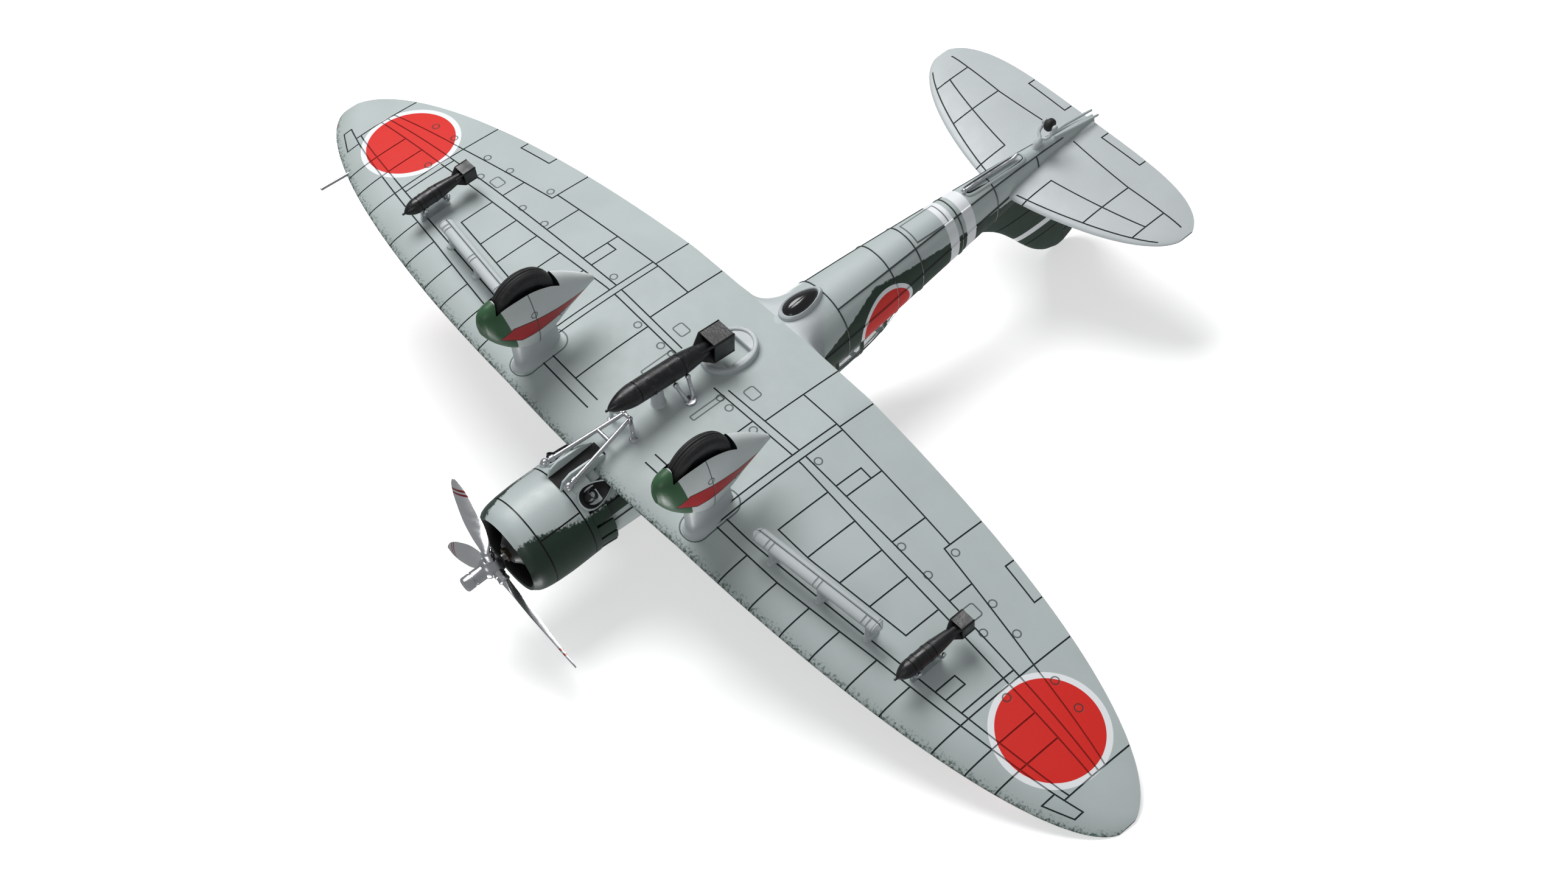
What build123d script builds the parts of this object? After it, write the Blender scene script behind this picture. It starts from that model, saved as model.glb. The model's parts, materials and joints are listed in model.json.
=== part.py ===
"""Display model of a two-seat naval dive bomber with fixed, spatted wheels, at 1:72.

Every piece is drawn in the level frame: X to port, Y aft, Z up, with the thrust line on the Y axis. At the
end the whole model is tipped nose-up onto its three wheels, and its origin is set at the bottom centre of its
box. All sizes are in millimetres.
"""
from build123d import *
import os
from math import asin, atan2, copysign, cos, degrees, hypot, pi, radians, sin, sqrt

# ---- driving dimensions ----------------------------------------------------------------------------------
# Wing: two different rounded outlines fore and aft of the tip, flat in the middle, then rising outboard.
SEMI_SPAN = 99.75
TIP_Y = -24.0
LEADING_REACH = 20.5
LEADING_POWER = 1.85
TRAILING_REACH = 20.7
TRAILING_POWER = 2.6
WING_Z = -7.7
KINK_X = 22.0
DIHEDRAL = 0.125
LOWER_DEPTH = 0.045
UPPER_HEIGHT = 0.085
EDGE_THICKNESS = 0.3
TIP_CAP = 0.25

# Tailplane and fin.
TAIL_SEMI_SPAN = 30.5
TAIL_TIP_Y = 62.2
TAIL_LEADING_REACH = 15.8
TAIL_LEADING_POWER = 1.35
TAIL_TRAILING_REACH = 7.8
TAIL_TRAILING_POWER = 4.2
TAIL_Z = 0.2
TAIL_HALF_THICKNESS = 0.9

# Fuselage stations: (y, half width, top, bottom).
FUSELAGE_STATIONS = [
    (-48.4, 7.3, 7.6, -7.6),
    (-36.0, 7.7, 8.3, -8.6),
    (-20.0, 7.6, 8.6, -8.6),
    (-3.0, 7.2, 8.4, -7.9),
    (12.0, 6.2, 8.0, -7.2),
    (29.0, 4.6, 7.1, -6.1),
    (42.0, 3.3, 6.3, -5.1),
    (54.0, 2.2, 5.3, -3.8),
    (64.0, 1.3, 4.3, -2.2),
    (70.6, 0.6, 3.2, -0.8),
]
FUSELAGE_ROUNDNESS = 2.25
FUSELAGE_WALL = 0.9
CAVITY_STATIONS = 8

# Fin stations: (z, leading edge, trailing edge, half thickness).
FIN_STATIONS = [
    (5.0, 34.0, 69.8, 0.9),
    (8.0, 41.6, 70.6, 0.85),
    (12.0, 46.6, 70.9, 0.8),
    (16.5, 50.2, 70.7, 0.7),
    (21.0, 53.3, 69.9, 0.6),
    (25.0, 56.4, 68.3, 0.5),
    (27.6, 59.3, 66.4, 0.35),
    (28.8, 61.8, 64.4, 0.2),
]

# Engine, cowl and propeller.
COWL_FRONT_Y = -62.3
COWL_REAR_Y = -49.4
COWL_RADIUS = 8.6
COWL_MOUTH_RADIUS = 6.5
COWL_WALL = 0.6
LIP_RISE = 0.3
LIP_LENGTH = 1.2
LIP_DEPTH = 1.4
SHOULDER_LENGTH = 4.0
SHOULDER_DROP = 0.15
COWL_FULL_LENGTH = 7.5
COWL_DRAW_IN = 0.1
FLAP_REAR_Y = -46.2
FLAP_SPREAD = 0.25
BULKHEAD_Y = -50.4
BULKHEAD_THICKNESS = 0.8
BULKHEAD_GAP = 0.15
CRANKCASE_RADIUS = 3.2
CRANKCASE_REAR_Y = -53.0
CRANKCASE_REAR_RADIUS = 2.0
GEAR_CASE_PROFILE = [(0, -62.0), (1.9, -62.0), (2.6, -61.0), (CRANKCASE_RADIUS, -59.8)]
CYLINDER_RADIUS = 1.05
CYLINDER_SEAT = 0.4
CYLINDER_TOP = 6.6
CYLINDERS_PER_ROW = 7
CYLINDER_ROWS_Y = (-58.6, -55.6)
PROP_RADIUS = 21.5
PROP_Y = -65.2
PROP_FIRST_ANGLE = 40.0
BLADES = 3
HUB_FRONT_Y = -70.8
HUB_RADIUS = 1.75
HUB_HALF_LENGTH = 1.5
HUB_CHAMFER = 0.4
HUB_BACK_RADIUS = 1.2
SPINNER_RADIUS = 1.3
SHAFT_RADIUS = 0.6
SHAFT_END_Y = -57.0
SHAFT_IN_HUB = 0.9
RUNNING_CLEARANCE = 0.05
BUSH_RADIUS = 1.2
BUSH_FRONT_Y = -62.6
COLLAR_RADIUS = 1.15
COLLAR_LENGTH = 1.1
COLLAR_SIDE_GAP = 0.25
COLLAR_FRONT_GAP = 0.3
COLLAR_BACK_GAP = 0.5

# Blade sections: (radius, half chord, half thickness, pitch angle from the disc).
BLADE_SECTIONS = [
    (1.0, 0.72, 0.72, 40.0),
    (3.2, 0.75, 0.70, 38.0),
    (6.5, 1.45, 0.42, 33.0),
    (11.0, 1.85, 0.32, 28.0),
    (16.0, 1.70, 0.26, 23.0),
    (20.0, 1.15, 0.20, 20.0),
    (22.2, 0.35, 0.12, 18.0),
]

# Main wheels, spats and legs.
WHEEL_X = 22.0
WHEEL_Y = -37.4
WHEEL_Z = -23.6
TYRE_RADIUS = 6.0
TYRE_HALF_WIDTH = 1.35
RIM_RADIUS = 3.9
WHEEL_GAP = 0.4
AXLE_RADIUS = 0.6
AXLE_HALF_LENGTH = 2.2

# Spat stations about the wheel's centre: (aft, half width, top, bottom), in radii of the wheel well along the
# spat and up and down, and in half widths of the well across.
SPAT_STATIONS = [
    (-1.328, 0.40, 0.219, -0.281),
    (-1.188, 0.886, 0.469, -0.469),
    (-0.969, 1.286, 0.844, -0.578),
    (-0.594, 1.486, 1.344, -0.641),
    (0.0, 1.571, 1.75, -0.609),
    (0.625, 1.40, 1.563, -0.438),
    (1.219, 1.057, 1.266, -0.047),
    (1.75, 0.657, 1.078, 0.453),
    (2.109, 0.257, 1.0, 0.844),
]
SPAT_ROUNDNESS = 2.2
LEG_FRONT_Y = -41.4
LEG_BACK_Y = -32.3
LEG_HALF_WIDTH = 1.9

# Tail wheel.
TAIL_WHEEL_Y = 59.6
TAIL_WHEEL_Z = -6.5
TAIL_TYRE_RADIUS = 1.25
TAIL_TYRE_HALF_WIDTH = 0.6
TAIL_AXLE_RADIUS = 0.3
TAIL_LEG_TOP = (0, 55.0, -2.6)
TAIL_LEG_RADIUS = 0.6
TAIL_FORK_RADIUS = 0.33
TAIL_FORK_X = 1.2
TAIL_FORK_JOINT = (0, 57.7, -5.0)

# Cockpit and canopy.
CANOPY_STATIONS = [
    (-22.0, 1.6, 8.9, 3.0),
    (-18.0, 3.2, 13.0, 3.0),
    (-13.0, 3.7, 15.3, 3.0),
    (0.0, 3.8, 15.8, 3.0),
    (12.0, 3.5, 14.6, 3.0),
    (20.0, 2.6, 11.8, 3.0),
    (24.0, 1.4, 8.6, 3.0),
]
CANOPY_SILL_Z = 7.4
CANOPY_WALL = 0.5
TUB_HALF_WIDTH = 2.8
TUB_FRONT_Y = -16.0
TUB_BACK_Y = 18.0
TUB_FLOOR_Z = -2.0
TUB_RIM_Z = 7.0
TUB_WALL = 0.4
SEAT_STATIONS_Y = (-8.0, 8.0)
SEAT_HALF = 1.6
SEAT_PAN_Z = 1.4
SEAT_BACK_Z = 6.6
SEAT_BACK_THICKNESS = 0.6

# Main bomb, its supports and swing crutch.
BOMB_NOSE = (0.0, -39.0, -16.6)
BOMB_TAIL = (0.0, -14.2, -13.7)
BOMB_RADIUS = 1.95
BOMB_NOSE_LENGTH = 5.9
BOMB_BODY_LENGTH = 9.2
BOMB_TAIL_RADIUS = 0.7
BOMB_TAIL_INSET = 0.6
BOMB_FIN_SPAN = 2.05
BOMB_FIN_THICKNESS = 0.35
BOMB_FIN_LENGTH = 7.6
PYLON_Y = -29.2
PYLON_RADIUS = 1.15
BRACE_FOOT = (3.4, -25.3)
BRACE_ANGLE = 36.0
BRACE_SPREAD = 1.25
BRACE_RADIUS = 0.35
BRACE_PAD = (1.5, 2.0, 0.7)
CRUTCH_RADIUS = 0.38
CRUTCH_BALL_X = 3.1
CRUTCH_BALL_Y = -50.0
CRUTCH_BALL_RADIUS = 0.75
CRUTCH_GAP = 1.15
CRUTCH_HEAD = (0.75, -35.4, -11.9)
CRUTCH_BAR_Y = -40.3
CLIP_FOOT = (2.8, -36.6)
CLIP_RISE = 0.4

# Dive brakes and small bombs under the outer wings.
BRAKE_INNER = (31.0, -35.0, -12.6)
BRAKE_OUTER = (55.65, -31.6, -9.5)
BRAKE_HALF_CHORD = 1.35
BRAKE_HALF_THICKNESS = 0.75
BRAKE_STRUT_SHARES = (0.14, 0.53, 0.91)
STRUT_HALF_WIDTH = 0.45
STRUT_HALF_CHORD = 0.8
STRUT_ROOT = 0.6
STRUT_FOOT_HALF = (0.72, 1.52)
STRUT_FOOT_HEIGHT = 0.5
SMALL_BOMB_X = 62.85
SMALL_BOMB_NOSE_Y = -35.6
SMALL_BOMB_LENGTH = 15.2
SMALL_BOMB_Z = -8.4
SMALL_BOMB_RADIUS = 1.4
SMALL_BOMB_NOSE_LENGTH = 3.2
SMALL_BOMB_BODY_LENGTH = 4.4
SMALL_BOMB_TAIL_RADIUS = 0.5
SMALL_FIN_SPAN = 1.35
SMALL_FIN_THICKNESS = 0.3
SMALL_FIN_LENGTH = 4.6
RACK_Y = -29.4
RACK_STAY_X = 1.6
RACK_STAY_RADIUS = 0.28
RACK_HALF_WIDTH = 0.45
RACK_HALF_LENGTH = 2.9

# Display-stand socket, ventral window, hook and small fittings.
SOCKET_Y = -14.2
SOCKET_HALF_LENGTH = 5.3
SOCKET_HALF_WIDTH = 4.2
SOCKET_PROUD = 0.6
SLOT_HALF_WIDTH = 2.6
SLOT_HALF_LENGTH = 2.6
SLOT_DEPTH = 5.2
SOCKET_WALL = 0.8
WINDOW_Y = 1.6
WINDOW_HALF_LENGTH = 3.9
WINDOW_HALF_WIDTH = 1.9
WINDOW_DROP = 1.3
WINDOW_RIM = 0.45
HOOK_FRONT = (0.0, 38.6, -5.6)
HOOK_BACK = (0.0, 51.8, -4.2)
HOOK_RADIUS = 0.4
HOOK_GAP = 0.3
HOOK_END_GAP = 0.4
SCOOP_FRONT_Y = -51.2
SCOOP_BACK_Y = -41.4
SCOOP_HALF_WIDTH = 1.9
SCOOP_PLATE = 0.45
SCOOP_DROP = 2.05
SCOOP_ROOT_Z = -6.0
SCOOP_CHANNEL_Z = -8.4
NOSE_PANEL_BACK_Y = -41.2
NOSE_PANEL_TOP_Z = -2.0
EXHAUST_ANGLE = 54.0
EXHAUST_Y = -47.4
EXHAUST_POCKET_RADIUS = 1.9
EXHAUST_POCKET_DEPTH = 1.3
EXHAUST_PIPE_RADIUS = 0.85
EXHAUST_PIPE_ROOT = 0.6
EXHAUST_PIPE_REACH = 1.17
EXHAUST_PIPE_SWEEP = 0.5
LIGHT_LENGTH = 4.15
LIGHT_BACK_Y = -27.4
PITOT_FROM_TIP = 14.75
PITOT_LENGTH = 5.5
PITOT_RADIUS = 0.3
PITOT_ROOT = 1.6
PITOT_DROOP = 0.6
MAST_Y = -12.0
MAST_TOP_Z = 22.5
SIGHT_Z = 10.6
SIGHT_FRONT_Y = -26.5
SIGHT_BACK_Y = -14.0
SIGHT_RADIUS = 0.45
SIGHT_STAY = (0, -25.2, 7.0)
SIGHT_STAY_RADIUS = 0.25
GUN_PIVOT = (0, 13.0, 8.2)
GUN_MUZZLE = (0, 6.0, 10.2)
GUN_RADIUS = 0.35
GUN_POST_Y = 11.5
MAST_FOOT = (0.45, 1.0)
MAST_TIP = (0.25, 0.45)
MAST_RAKE = 1.2
COCKPIT_OPENING_Z = 5.4
FAR = 400.0


# ---- shape helpers ---------------------------------------------------------------------------------------
def rounded_outline(y, half_width, top, bottom, roundness, center_x=0.0, points=16):
    """Closed cross-section at station y: an ellipse whose corners fill out as roundness rises above 2."""
    middle, half = (top + bottom) / 2, (top - bottom) / 2
    corners = []
    for i in range(points):
        angle = 2 * pi * i / points
        across = copysign(abs(cos(angle)) ** (2 / roundness), cos(angle))
        upward = copysign(abs(sin(angle)) ** (2 / roundness), sin(angle))
        corners.append((center_x + half_width * across, y, middle + half * upward))
    return Face(Wire(Spline(*corners, periodic=True)))


def body_loft(stations, roundness, inset=0.0, center_x=0.0, ruled=False):
    """Closed body through (y, half width, top, bottom) stations, made smaller all round by inset."""
    faces = [rounded_outline(y, half - inset, top - inset, bottom + inset, roundness, center_x)
             for y, half, top, bottom in stations]
    return loft(faces, ruled=ruled)


def station_at(stations, y):
    """Half width, top and bottom of a body at y, in a straight line between its two nearest stations."""
    for first, second in zip(stations, stations[1:]):
        if y <= second[0]:
            share = (y - first[0]) / (second[0] - first[0])
            return tuple(a + share * (b - a) for a, b in zip(first[1:], second[1:]))
    return stations[-1][1:]


def bulge(share):
    """Aerofoil fullness at a share of the chord: nothing at both ends, one at a third of the way back."""
    return sqrt(share) * (1 - share) / (sqrt(1 / 3) * 2 / 3)


CHORD_SHARES = (0.0, 0.012, 0.05, 0.12, 0.22, 0.35, 0.5, 0.66, 0.82, 1.0)
OUTER_SHARES = (0.0, 0.14, 0.28, 0.42, 0.55, 0.67, 0.78, 0.87, 0.93, 0.97, 0.99, 1.0)


def reach(x, span, power):
    """How far a rounded outline stands out from its tip line at x, as a share of its reach at the middle."""
    return sqrt(max(0.0, 1 - (abs(x) / (span + TIP_CAP)) ** power))


def leading_edge(x):
    return TIP_Y - LEADING_REACH * reach(x, SEMI_SPAN, LEADING_POWER)


def trailing_edge(x):
    return TIP_Y + TRAILING_REACH * reach(x, SEMI_SPAN, TRAILING_POWER)


def chord_z(x):
    """Height of the wing's chord line, flat between the legs and rising outboard of them."""
    return WING_Z + DIHEDRAL * max(0.0, abs(x) - KINK_X)


def lower_z(x, y):
    """Height of the wing's lower surface at (x, y)."""
    front, back = leading_edge(x), trailing_edge(x)
    share = (y - front) / (back - front)
    return chord_z(x) - LOWER_DEPTH * (back - front) * bulge(share) - EDGE_THICKNESS / 2 * share


def half_section(x, side, share_of_chord):
    """Half an aerofoil at x, below (side -1) or above (side +1) its chord line, as a face."""
    front, back, middle = leading_edge(x), trailing_edge(x), chord_z(x)
    chord = back - front
    curve = []
    for share in CHORD_SHARES:
        height = share_of_chord * chord * bulge(share) + EDGE_THICKNESS / 2 * share
        curve.append((x, front + chord * share, middle + side * height))
    return Face(Wire([Spline(*curve).edge(), Line(curve[-1], (x, back, middle)).edge(),
                      Line((x, back, middle), curve[0]).edge()]))


def half_wing(side, share_of_chord):
    """The wing on one side of its chord line, from tip to tip: a flat middle and two rising outer parts."""
    outer_x = [KINK_X + (SEMI_SPAN - KINK_X) * share for share in OUTER_SHARES]
    middle = loft([half_section(x, side, share_of_chord) for x in (-KINK_X, 0.0, KINK_X)], ruled=True)
    outer = loft([half_section(x, side, share_of_chord) for x in outer_x], ruled=True)
    return middle + outer + mirror(outer, about=Plane.YZ)


def lens_section(place, front, back, half):
    """Whole symmetrical aerofoil. place(along, across) gives the point so far along and off the chord."""
    chord = back - front
    edge = EDGE_THICKNESS / 2
    upper = [place(front + chord * s, half * bulge(s) + edge * s) for s in CHORD_SHARES]
    lower = [place(front + chord * s, -half * bulge(s) - edge * s) for s in CHORD_SHARES]
    heel = Line(upper[-1], lower[-1])
    return Face(Wire([Spline(*upper).edge(), heel.edge(), Spline(*lower).edge()]))


def rod(start, end, radius):
    """Round bar from start to end."""
    start, end = Vector(*start), Vector(*end)
    run = end - start
    return Plane(origin=(start + end) / 2, z_dir=run) * Cylinder(radius, run.length)


def turned(profile):
    """Solid turned about the Y axis from (radius, y) points."""
    return revolve(Face(Wire(Polyline(*profile, close=True))), Axis.Y)


def disc(center, radius, half_width):
    """Wheel-shaped cylinder about an axis along X."""
    return Pos(*center) * Rot(0, 90, 0) * Cylinder(radius, 2 * half_width)


def slab(low, high):
    """Box between two corners."""
    size = [b - a for a, b in zip(low, high)]
    middle = [(a + b) / 2 for a, b in zip(low, high)]
    return Pos(*middle) * Box(*size)


def both_sides(shape):
    """A shape and its mirror image on the other side of the model."""
    return [shape, mirror(shape, about=Plane.YZ)]


def largest(shape):
    """The biggest solid of a cut shape, which drops any loose sliver."""
    return max(shape.solids(), key=lambda s: s.volume)


PORT_SIDE = slab((0, -FAR, -FAR), (FAR, FAR, FAR))
STARBOARD_SIDE = slab((-FAR, -FAR, -FAR), (0, FAR, FAR))
parts = {}


# ---- wing, tailplane and fuselage ------------------------------------------------------------------------
def tail_outline(x):
    """Leading and trailing edge of the tailplane at x."""
    front = TAIL_TIP_Y - TAIL_LEADING_REACH * reach(x, TAIL_SEMI_SPAN, TAIL_LEADING_POWER)
    back = TAIL_TIP_Y + TAIL_TRAILING_REACH * reach(x, TAIL_SEMI_SPAN, TAIL_TRAILING_POWER)
    return front, back


def make_tailplane():
    """One-piece tailplane, a thin symmetrical section with rounded tips."""
    sections = []
    for share in (0.0, 0.25, 0.5, 0.7, 0.85, 0.94, 0.985, 1.0):
        x = share * TAIL_SEMI_SPAN
        front, back = tail_outline(x)
        half = TAIL_HALF_THICKNESS * (back - front) / (TAIL_LEADING_REACH + TAIL_TRAILING_REACH)
        place = lambda along, across, x=x: (x, along, TAIL_Z + across)
        sections.append(lens_section(place, front, back, half))
    side = loft(sections)
    return side + mirror(side, about=Plane.YZ)


def make_fin():
    """Fin and rudder in one, with a long fillet running forward along the spine."""
    sections = [lens_section(lambda along, across, z=z: (across, along, z), front, back, half)
                for z, front, back, half in FIN_STATIONS]
    return loft(sections)


wing_lower = half_wing(-1, LOWER_DEPTH)
wing_upper = half_wing(1, UPPER_HEIGHT)
tailplane = make_tailplane()
fuselage_solid = body_loft(FUSELAGE_STATIONS, FUSELAGE_ROUNDNESS)
cavity = body_loft(FUSELAGE_STATIONS[:CAVITY_STATIONS], FUSELAGE_ROUNDNESS, inset=FUSELAGE_WALL)
canopy_solid = body_loft(CANOPY_STATIONS, 2.0) & slab((-FAR, -FAR, CANOPY_SILL_Z), (FAR, FAR, FAR))
canopy_hollow = body_loft(CANOPY_STATIONS[1:-1], 2.0, inset=CANOPY_WALL)
nose_box = slab((-FAR, -FAR, -FAR), (FAR, NOSE_PANEL_BACK_Y, NOSE_PANEL_TOP_Z))
hook_slot = rod(HOOK_FRONT, HOOK_BACK, HOOK_RADIUS + HOOK_GAP)

shell = fuselage_solid - cavity + make_fin() - cavity
nose_panel = shell & nose_box
wing_lower = wing_lower - (fuselage_solid & nose_box)
wing_upper = wing_upper - fuselage_solid
shell = shell - nose_box - wing_lower - wing_upper - tailplane - canopy_solid - canopy_hollow - hook_slot

# ---- stand socket, a block let into the belly with a blind slot for the stand's tongue -------------------
socket_face_z = lower_z(0.0, SOCKET_Y - SOCKET_HALF_LENGTH / 2) - SOCKET_PROUD
slot_floor_z = socket_face_z + SLOT_DEPTH
socket_plate = extrude(Ellipse(SOCKET_HALF_WIDTH, SOCKET_HALF_LENGTH), 2 * SOCKET_PROUD)
socket_rim = Pos(0, SOCKET_Y, socket_face_z) * socket_plate
block_half_width = SLOT_HALF_WIDTH + SOCKET_WALL
block_half_length = SLOT_HALF_LENGTH + SOCKET_WALL
socket_block = slab((-block_half_width, SOCKET_Y - block_half_length, socket_face_z),
                    (block_half_width, SOCKET_Y + block_half_length, slot_floor_z + SOCKET_WALL))
stand_slot = slab((-SLOT_HALF_WIDTH, SOCKET_Y - SLOT_HALF_LENGTH, socket_face_z - SOCKET_PROUD),
                  (SLOT_HALF_WIDTH, SOCKET_Y + SLOT_HALF_LENGTH, slot_floor_z))
socket_solid = socket_rim + socket_block
parts["stand_socket"] = socket_solid - stand_slot
wing_lower = wing_lower - socket_solid
wing_upper = wing_upper - socket_solid
shell = shell - socket_solid

# ---- ventral window behind the wing ----------------------------------------------------------------------
window_z = station_at(FUSELAGE_STATIONS, WINDOW_Y)[2]
window_solid = Pos(0, WINDOW_Y, window_z + WINDOW_RIM) * scale(
    Sphere(1.0), by=(WINDOW_HALF_WIDTH, WINDOW_HALF_LENGTH, WINDOW_DROP + WINDOW_RIM))
frame_outer = Pos(0, WINDOW_Y, window_z - WINDOW_RIM) * extrude(
    Ellipse(WINDOW_HALF_WIDTH + WINDOW_RIM, WINDOW_HALF_LENGTH + WINDOW_RIM), WINDOW_RIM * 3)
parts["ventral_window"] = window_solid & slab((-FAR, -FAR, -FAR), (FAR, FAR, window_z + WINDOW_RIM))
parts["ventral_window_frame"] = frame_outer - window_solid
shell = shell - frame_outer - window_solid
wing_lower = wing_lower - frame_outer - window_solid

# ---- wing-tip lights, pitot tube, mast and sight ---------------------------------------------------------
light_zone = slab((SEMI_SPAN - LIGHT_LENGTH, -FAR, -FAR), (FAR, LIGHT_BACK_Y, FAR))
for side_name, zone in zip(("port", "starboard"), both_sides(light_zone)):
    parts[f"nav_light_{side_name}"] = (wing_lower & zone) + (wing_upper & zone)
    wing_lower = wing_lower - zone
    wing_upper = wing_upper - zone

pitot_x = SEMI_SPAN - PITOT_FROM_TIP
pitot_front_y = leading_edge(pitot_x) - PITOT_LENGTH
pitot_back_y = leading_edge(pitot_x) + PITOT_ROOT
pitot_z = chord_z(pitot_x)
pitot = rod((pitot_x, pitot_front_y, pitot_z - PITOT_DROOP), (pitot_x, pitot_back_y, pitot_z), PITOT_RADIUS)
parts["pitot_tube"] = pitot
wing_lower = wing_lower - pitot
wing_upper = wing_upper - pitot

parts["wing_lower"] = largest(wing_lower)
parts["wing_upper_port"] = largest(wing_upper & PORT_SIDE)
parts["wing_upper_starboard"] = largest(wing_upper & STARBOARD_SIDE)
parts["tailplane"] = tailplane

# ---- engine, cowl, exhausts and cooler -------------------------------------------------------------------
lip_front = (COWL_MOUTH_RADIUS + LIP_RISE, COWL_FRONT_Y)
shoulder_radius = COWL_RADIUS - SHOULDER_DROP
rear_radius = COWL_RADIUS - COWL_DRAW_IN
full_y = COWL_FRONT_Y + COWL_FULL_LENGTH
cowl_skin = Spline(lip_front, (COWL_MOUTH_RADIUS + LIP_DEPTH, COWL_FRONT_Y + LIP_LENGTH),
                   (shoulder_radius, COWL_FRONT_Y + SHOULDER_LENGTH), (COWL_RADIUS, full_y),
                   (rear_radius, COWL_REAR_Y))
cowl_lining = Spline((rear_radius - COWL_WALL, COWL_REAR_Y), (COWL_RADIUS - COWL_WALL, full_y),
                     (shoulder_radius - COWL_WALL, COWL_FRONT_Y + SHOULDER_LENGTH + LIP_RISE),
                     (COWL_MOUTH_RADIUS, COWL_FRONT_Y + LIP_LENGTH), lip_front)
cowl_seam = Line(cowl_skin @ 1, cowl_lining @ 0)
parts["cowling"] = revolve(Face(Wire([cowl_skin.edge(), cowl_seam.edge(), cowl_lining.edge()])), Axis.Y)

flap_inner = rear_radius - COWL_WALL
cowl_flaps = turned([(rear_radius, COWL_REAR_Y), (rear_radius + FLAP_SPREAD, FLAP_REAR_Y),
                     (flap_inner + FLAP_SPREAD, FLAP_REAR_Y), (flap_inner, COWL_REAR_Y)])
bulkhead_radius = flap_inner - BULKHEAD_GAP
bulkhead_back_y = BULKHEAD_Y + BULKHEAD_THICKNESS
bulkhead = turned([(0, BULKHEAD_Y), (bulkhead_radius, BULKHEAD_Y), (bulkhead_radius, bulkhead_back_y),
                   (0, bulkhead_back_y)])


def exhaust(side):
    """Pocket and pipe of the exhaust on one side, low on the flank just behind the cowl."""
    angle = radians(EXHAUST_ANGLE)
    outward = Vector(side * cos(angle), 0, -sin(angle))
    surface = outward * COWL_RADIUS + Vector(0, EXHAUST_Y, 0)
    floor = surface - outward * EXHAUST_POCKET_DEPTH
    pocket = rod(floor, surface + outward * EXHAUST_POCKET_RADIUS, EXHAUST_POCKET_RADIUS)
    pipe_end = floor + outward * EXHAUST_PIPE_REACH + Vector(0, EXHAUST_PIPE_SWEEP, 0)
    pipe = rod(floor - outward * EXHAUST_PIPE_ROOT, pipe_end, EXHAUST_PIPE_RADIUS)
    return pocket, pipe


(port_pocket, port_pipe), (starboard_pocket, starboard_pipe) = exhaust(1), exhaust(-1)
pockets = [port_pocket, starboard_pocket]
pipes = [port_pipe, starboard_pipe]

nose_radius = COWL_RADIUS + FLAP_SPREAD
scoop_bottom_z = -nose_radius - SCOOP_DROP
scoop_outer = slab((-SCOOP_HALF_WIDTH, SCOOP_FRONT_Y, scoop_bottom_z),
                   (SCOOP_HALF_WIDTH, SCOOP_BACK_Y, SCOOP_ROOT_Z))
scoop_channel = slab((-SCOOP_HALF_WIDTH + SCOOP_PLATE, -FAR, -FAR),
                     (SCOOP_HALF_WIDTH - SCOOP_PLATE, FAR, SCOOP_CHANNEL_Z))
nose_mass = turned([(0, COWL_FRONT_Y), (nose_radius, COWL_FRONT_Y), (nose_radius, FLAP_REAR_Y),
                    (0, FLAP_REAR_Y)])
scoop = scoop_outer - nose_mass - fuselage_solid - scoop_channel - parts["wing_lower"]
parts["oil_cooler_scoop"] = Compound(children=list(scoop.solids()))
parts["cowl_flaps"] = largest(cowl_flaps - pockets[0] - pockets[1] - pipes[0] - pipes[1])
parts["nose_belly_panel"] = largest(nose_panel - pockets[0] - pockets[1] - pipes[0] - pipes[1] - scoop)
parts["engine_bulkhead"] = bulkhead

crankcase_rear = [(CRANKCASE_RADIUS, CRANKCASE_REAR_Y), (CRANKCASE_REAR_RADIUS, BULKHEAD_Y), (0, BULKHEAD_Y)]
crankcase = turned(GEAR_CASE_PROFILE + crankcase_rear)
collar_front_y = SHAFT_END_Y - COLLAR_LENGTH
bush_back_y = collar_front_y - COLLAR_FRONT_GAP
room_radius = COLLAR_RADIUS + COLLAR_SIDE_GAP
room_back_y = SHAFT_END_Y + COLLAR_BACK_GAP
collar_room = turned([(0, bush_back_y), (room_radius, bush_back_y), (room_radius, room_back_y),
                      (0, room_back_y)])
bush_seat = turned([(0, -FAR), (BUSH_RADIUS, -FAR), (BUSH_RADIUS, bush_back_y), (0, bush_back_y)])
cylinder_solids = []
for row, row_y in enumerate(CYLINDER_ROWS_Y):
    for i in range(CYLINDERS_PER_ROW):
        angle = 2 * pi * (i + row / 2) / CYLINDERS_PER_ROW + pi / 2
        out = Vector(cos(angle), 0, sin(angle))
        cylinder_solids.append(rod(out * (CRANKCASE_RADIUS - CYLINDER_SEAT) + Vector(0, row_y, 0),
                                   out * CYLINDER_TOP + Vector(0, row_y, 0), CYLINDER_RADIUS))
crankcase = crankcase - collar_room - bush_seat
for cylinder in cylinder_solids:
    crankcase = crankcase - cylinder
parts["engine_crankcase"] = crankcase
parts["engine_cylinders"] = Compound(children=cylinder_solids)
bush_bore = SHAFT_RADIUS + RUNNING_CLEARANCE
parts["shaft_bush"] = turned([(bush_bore, BUSH_FRONT_Y), (BUSH_RADIUS, BUSH_FRONT_Y),
                              (BUSH_RADIUS, bush_back_y), (bush_bore, bush_back_y)])
parts["exhaust_stubs"] = Compound(children=[pipe.solid() for pipe in pipes])


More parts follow.
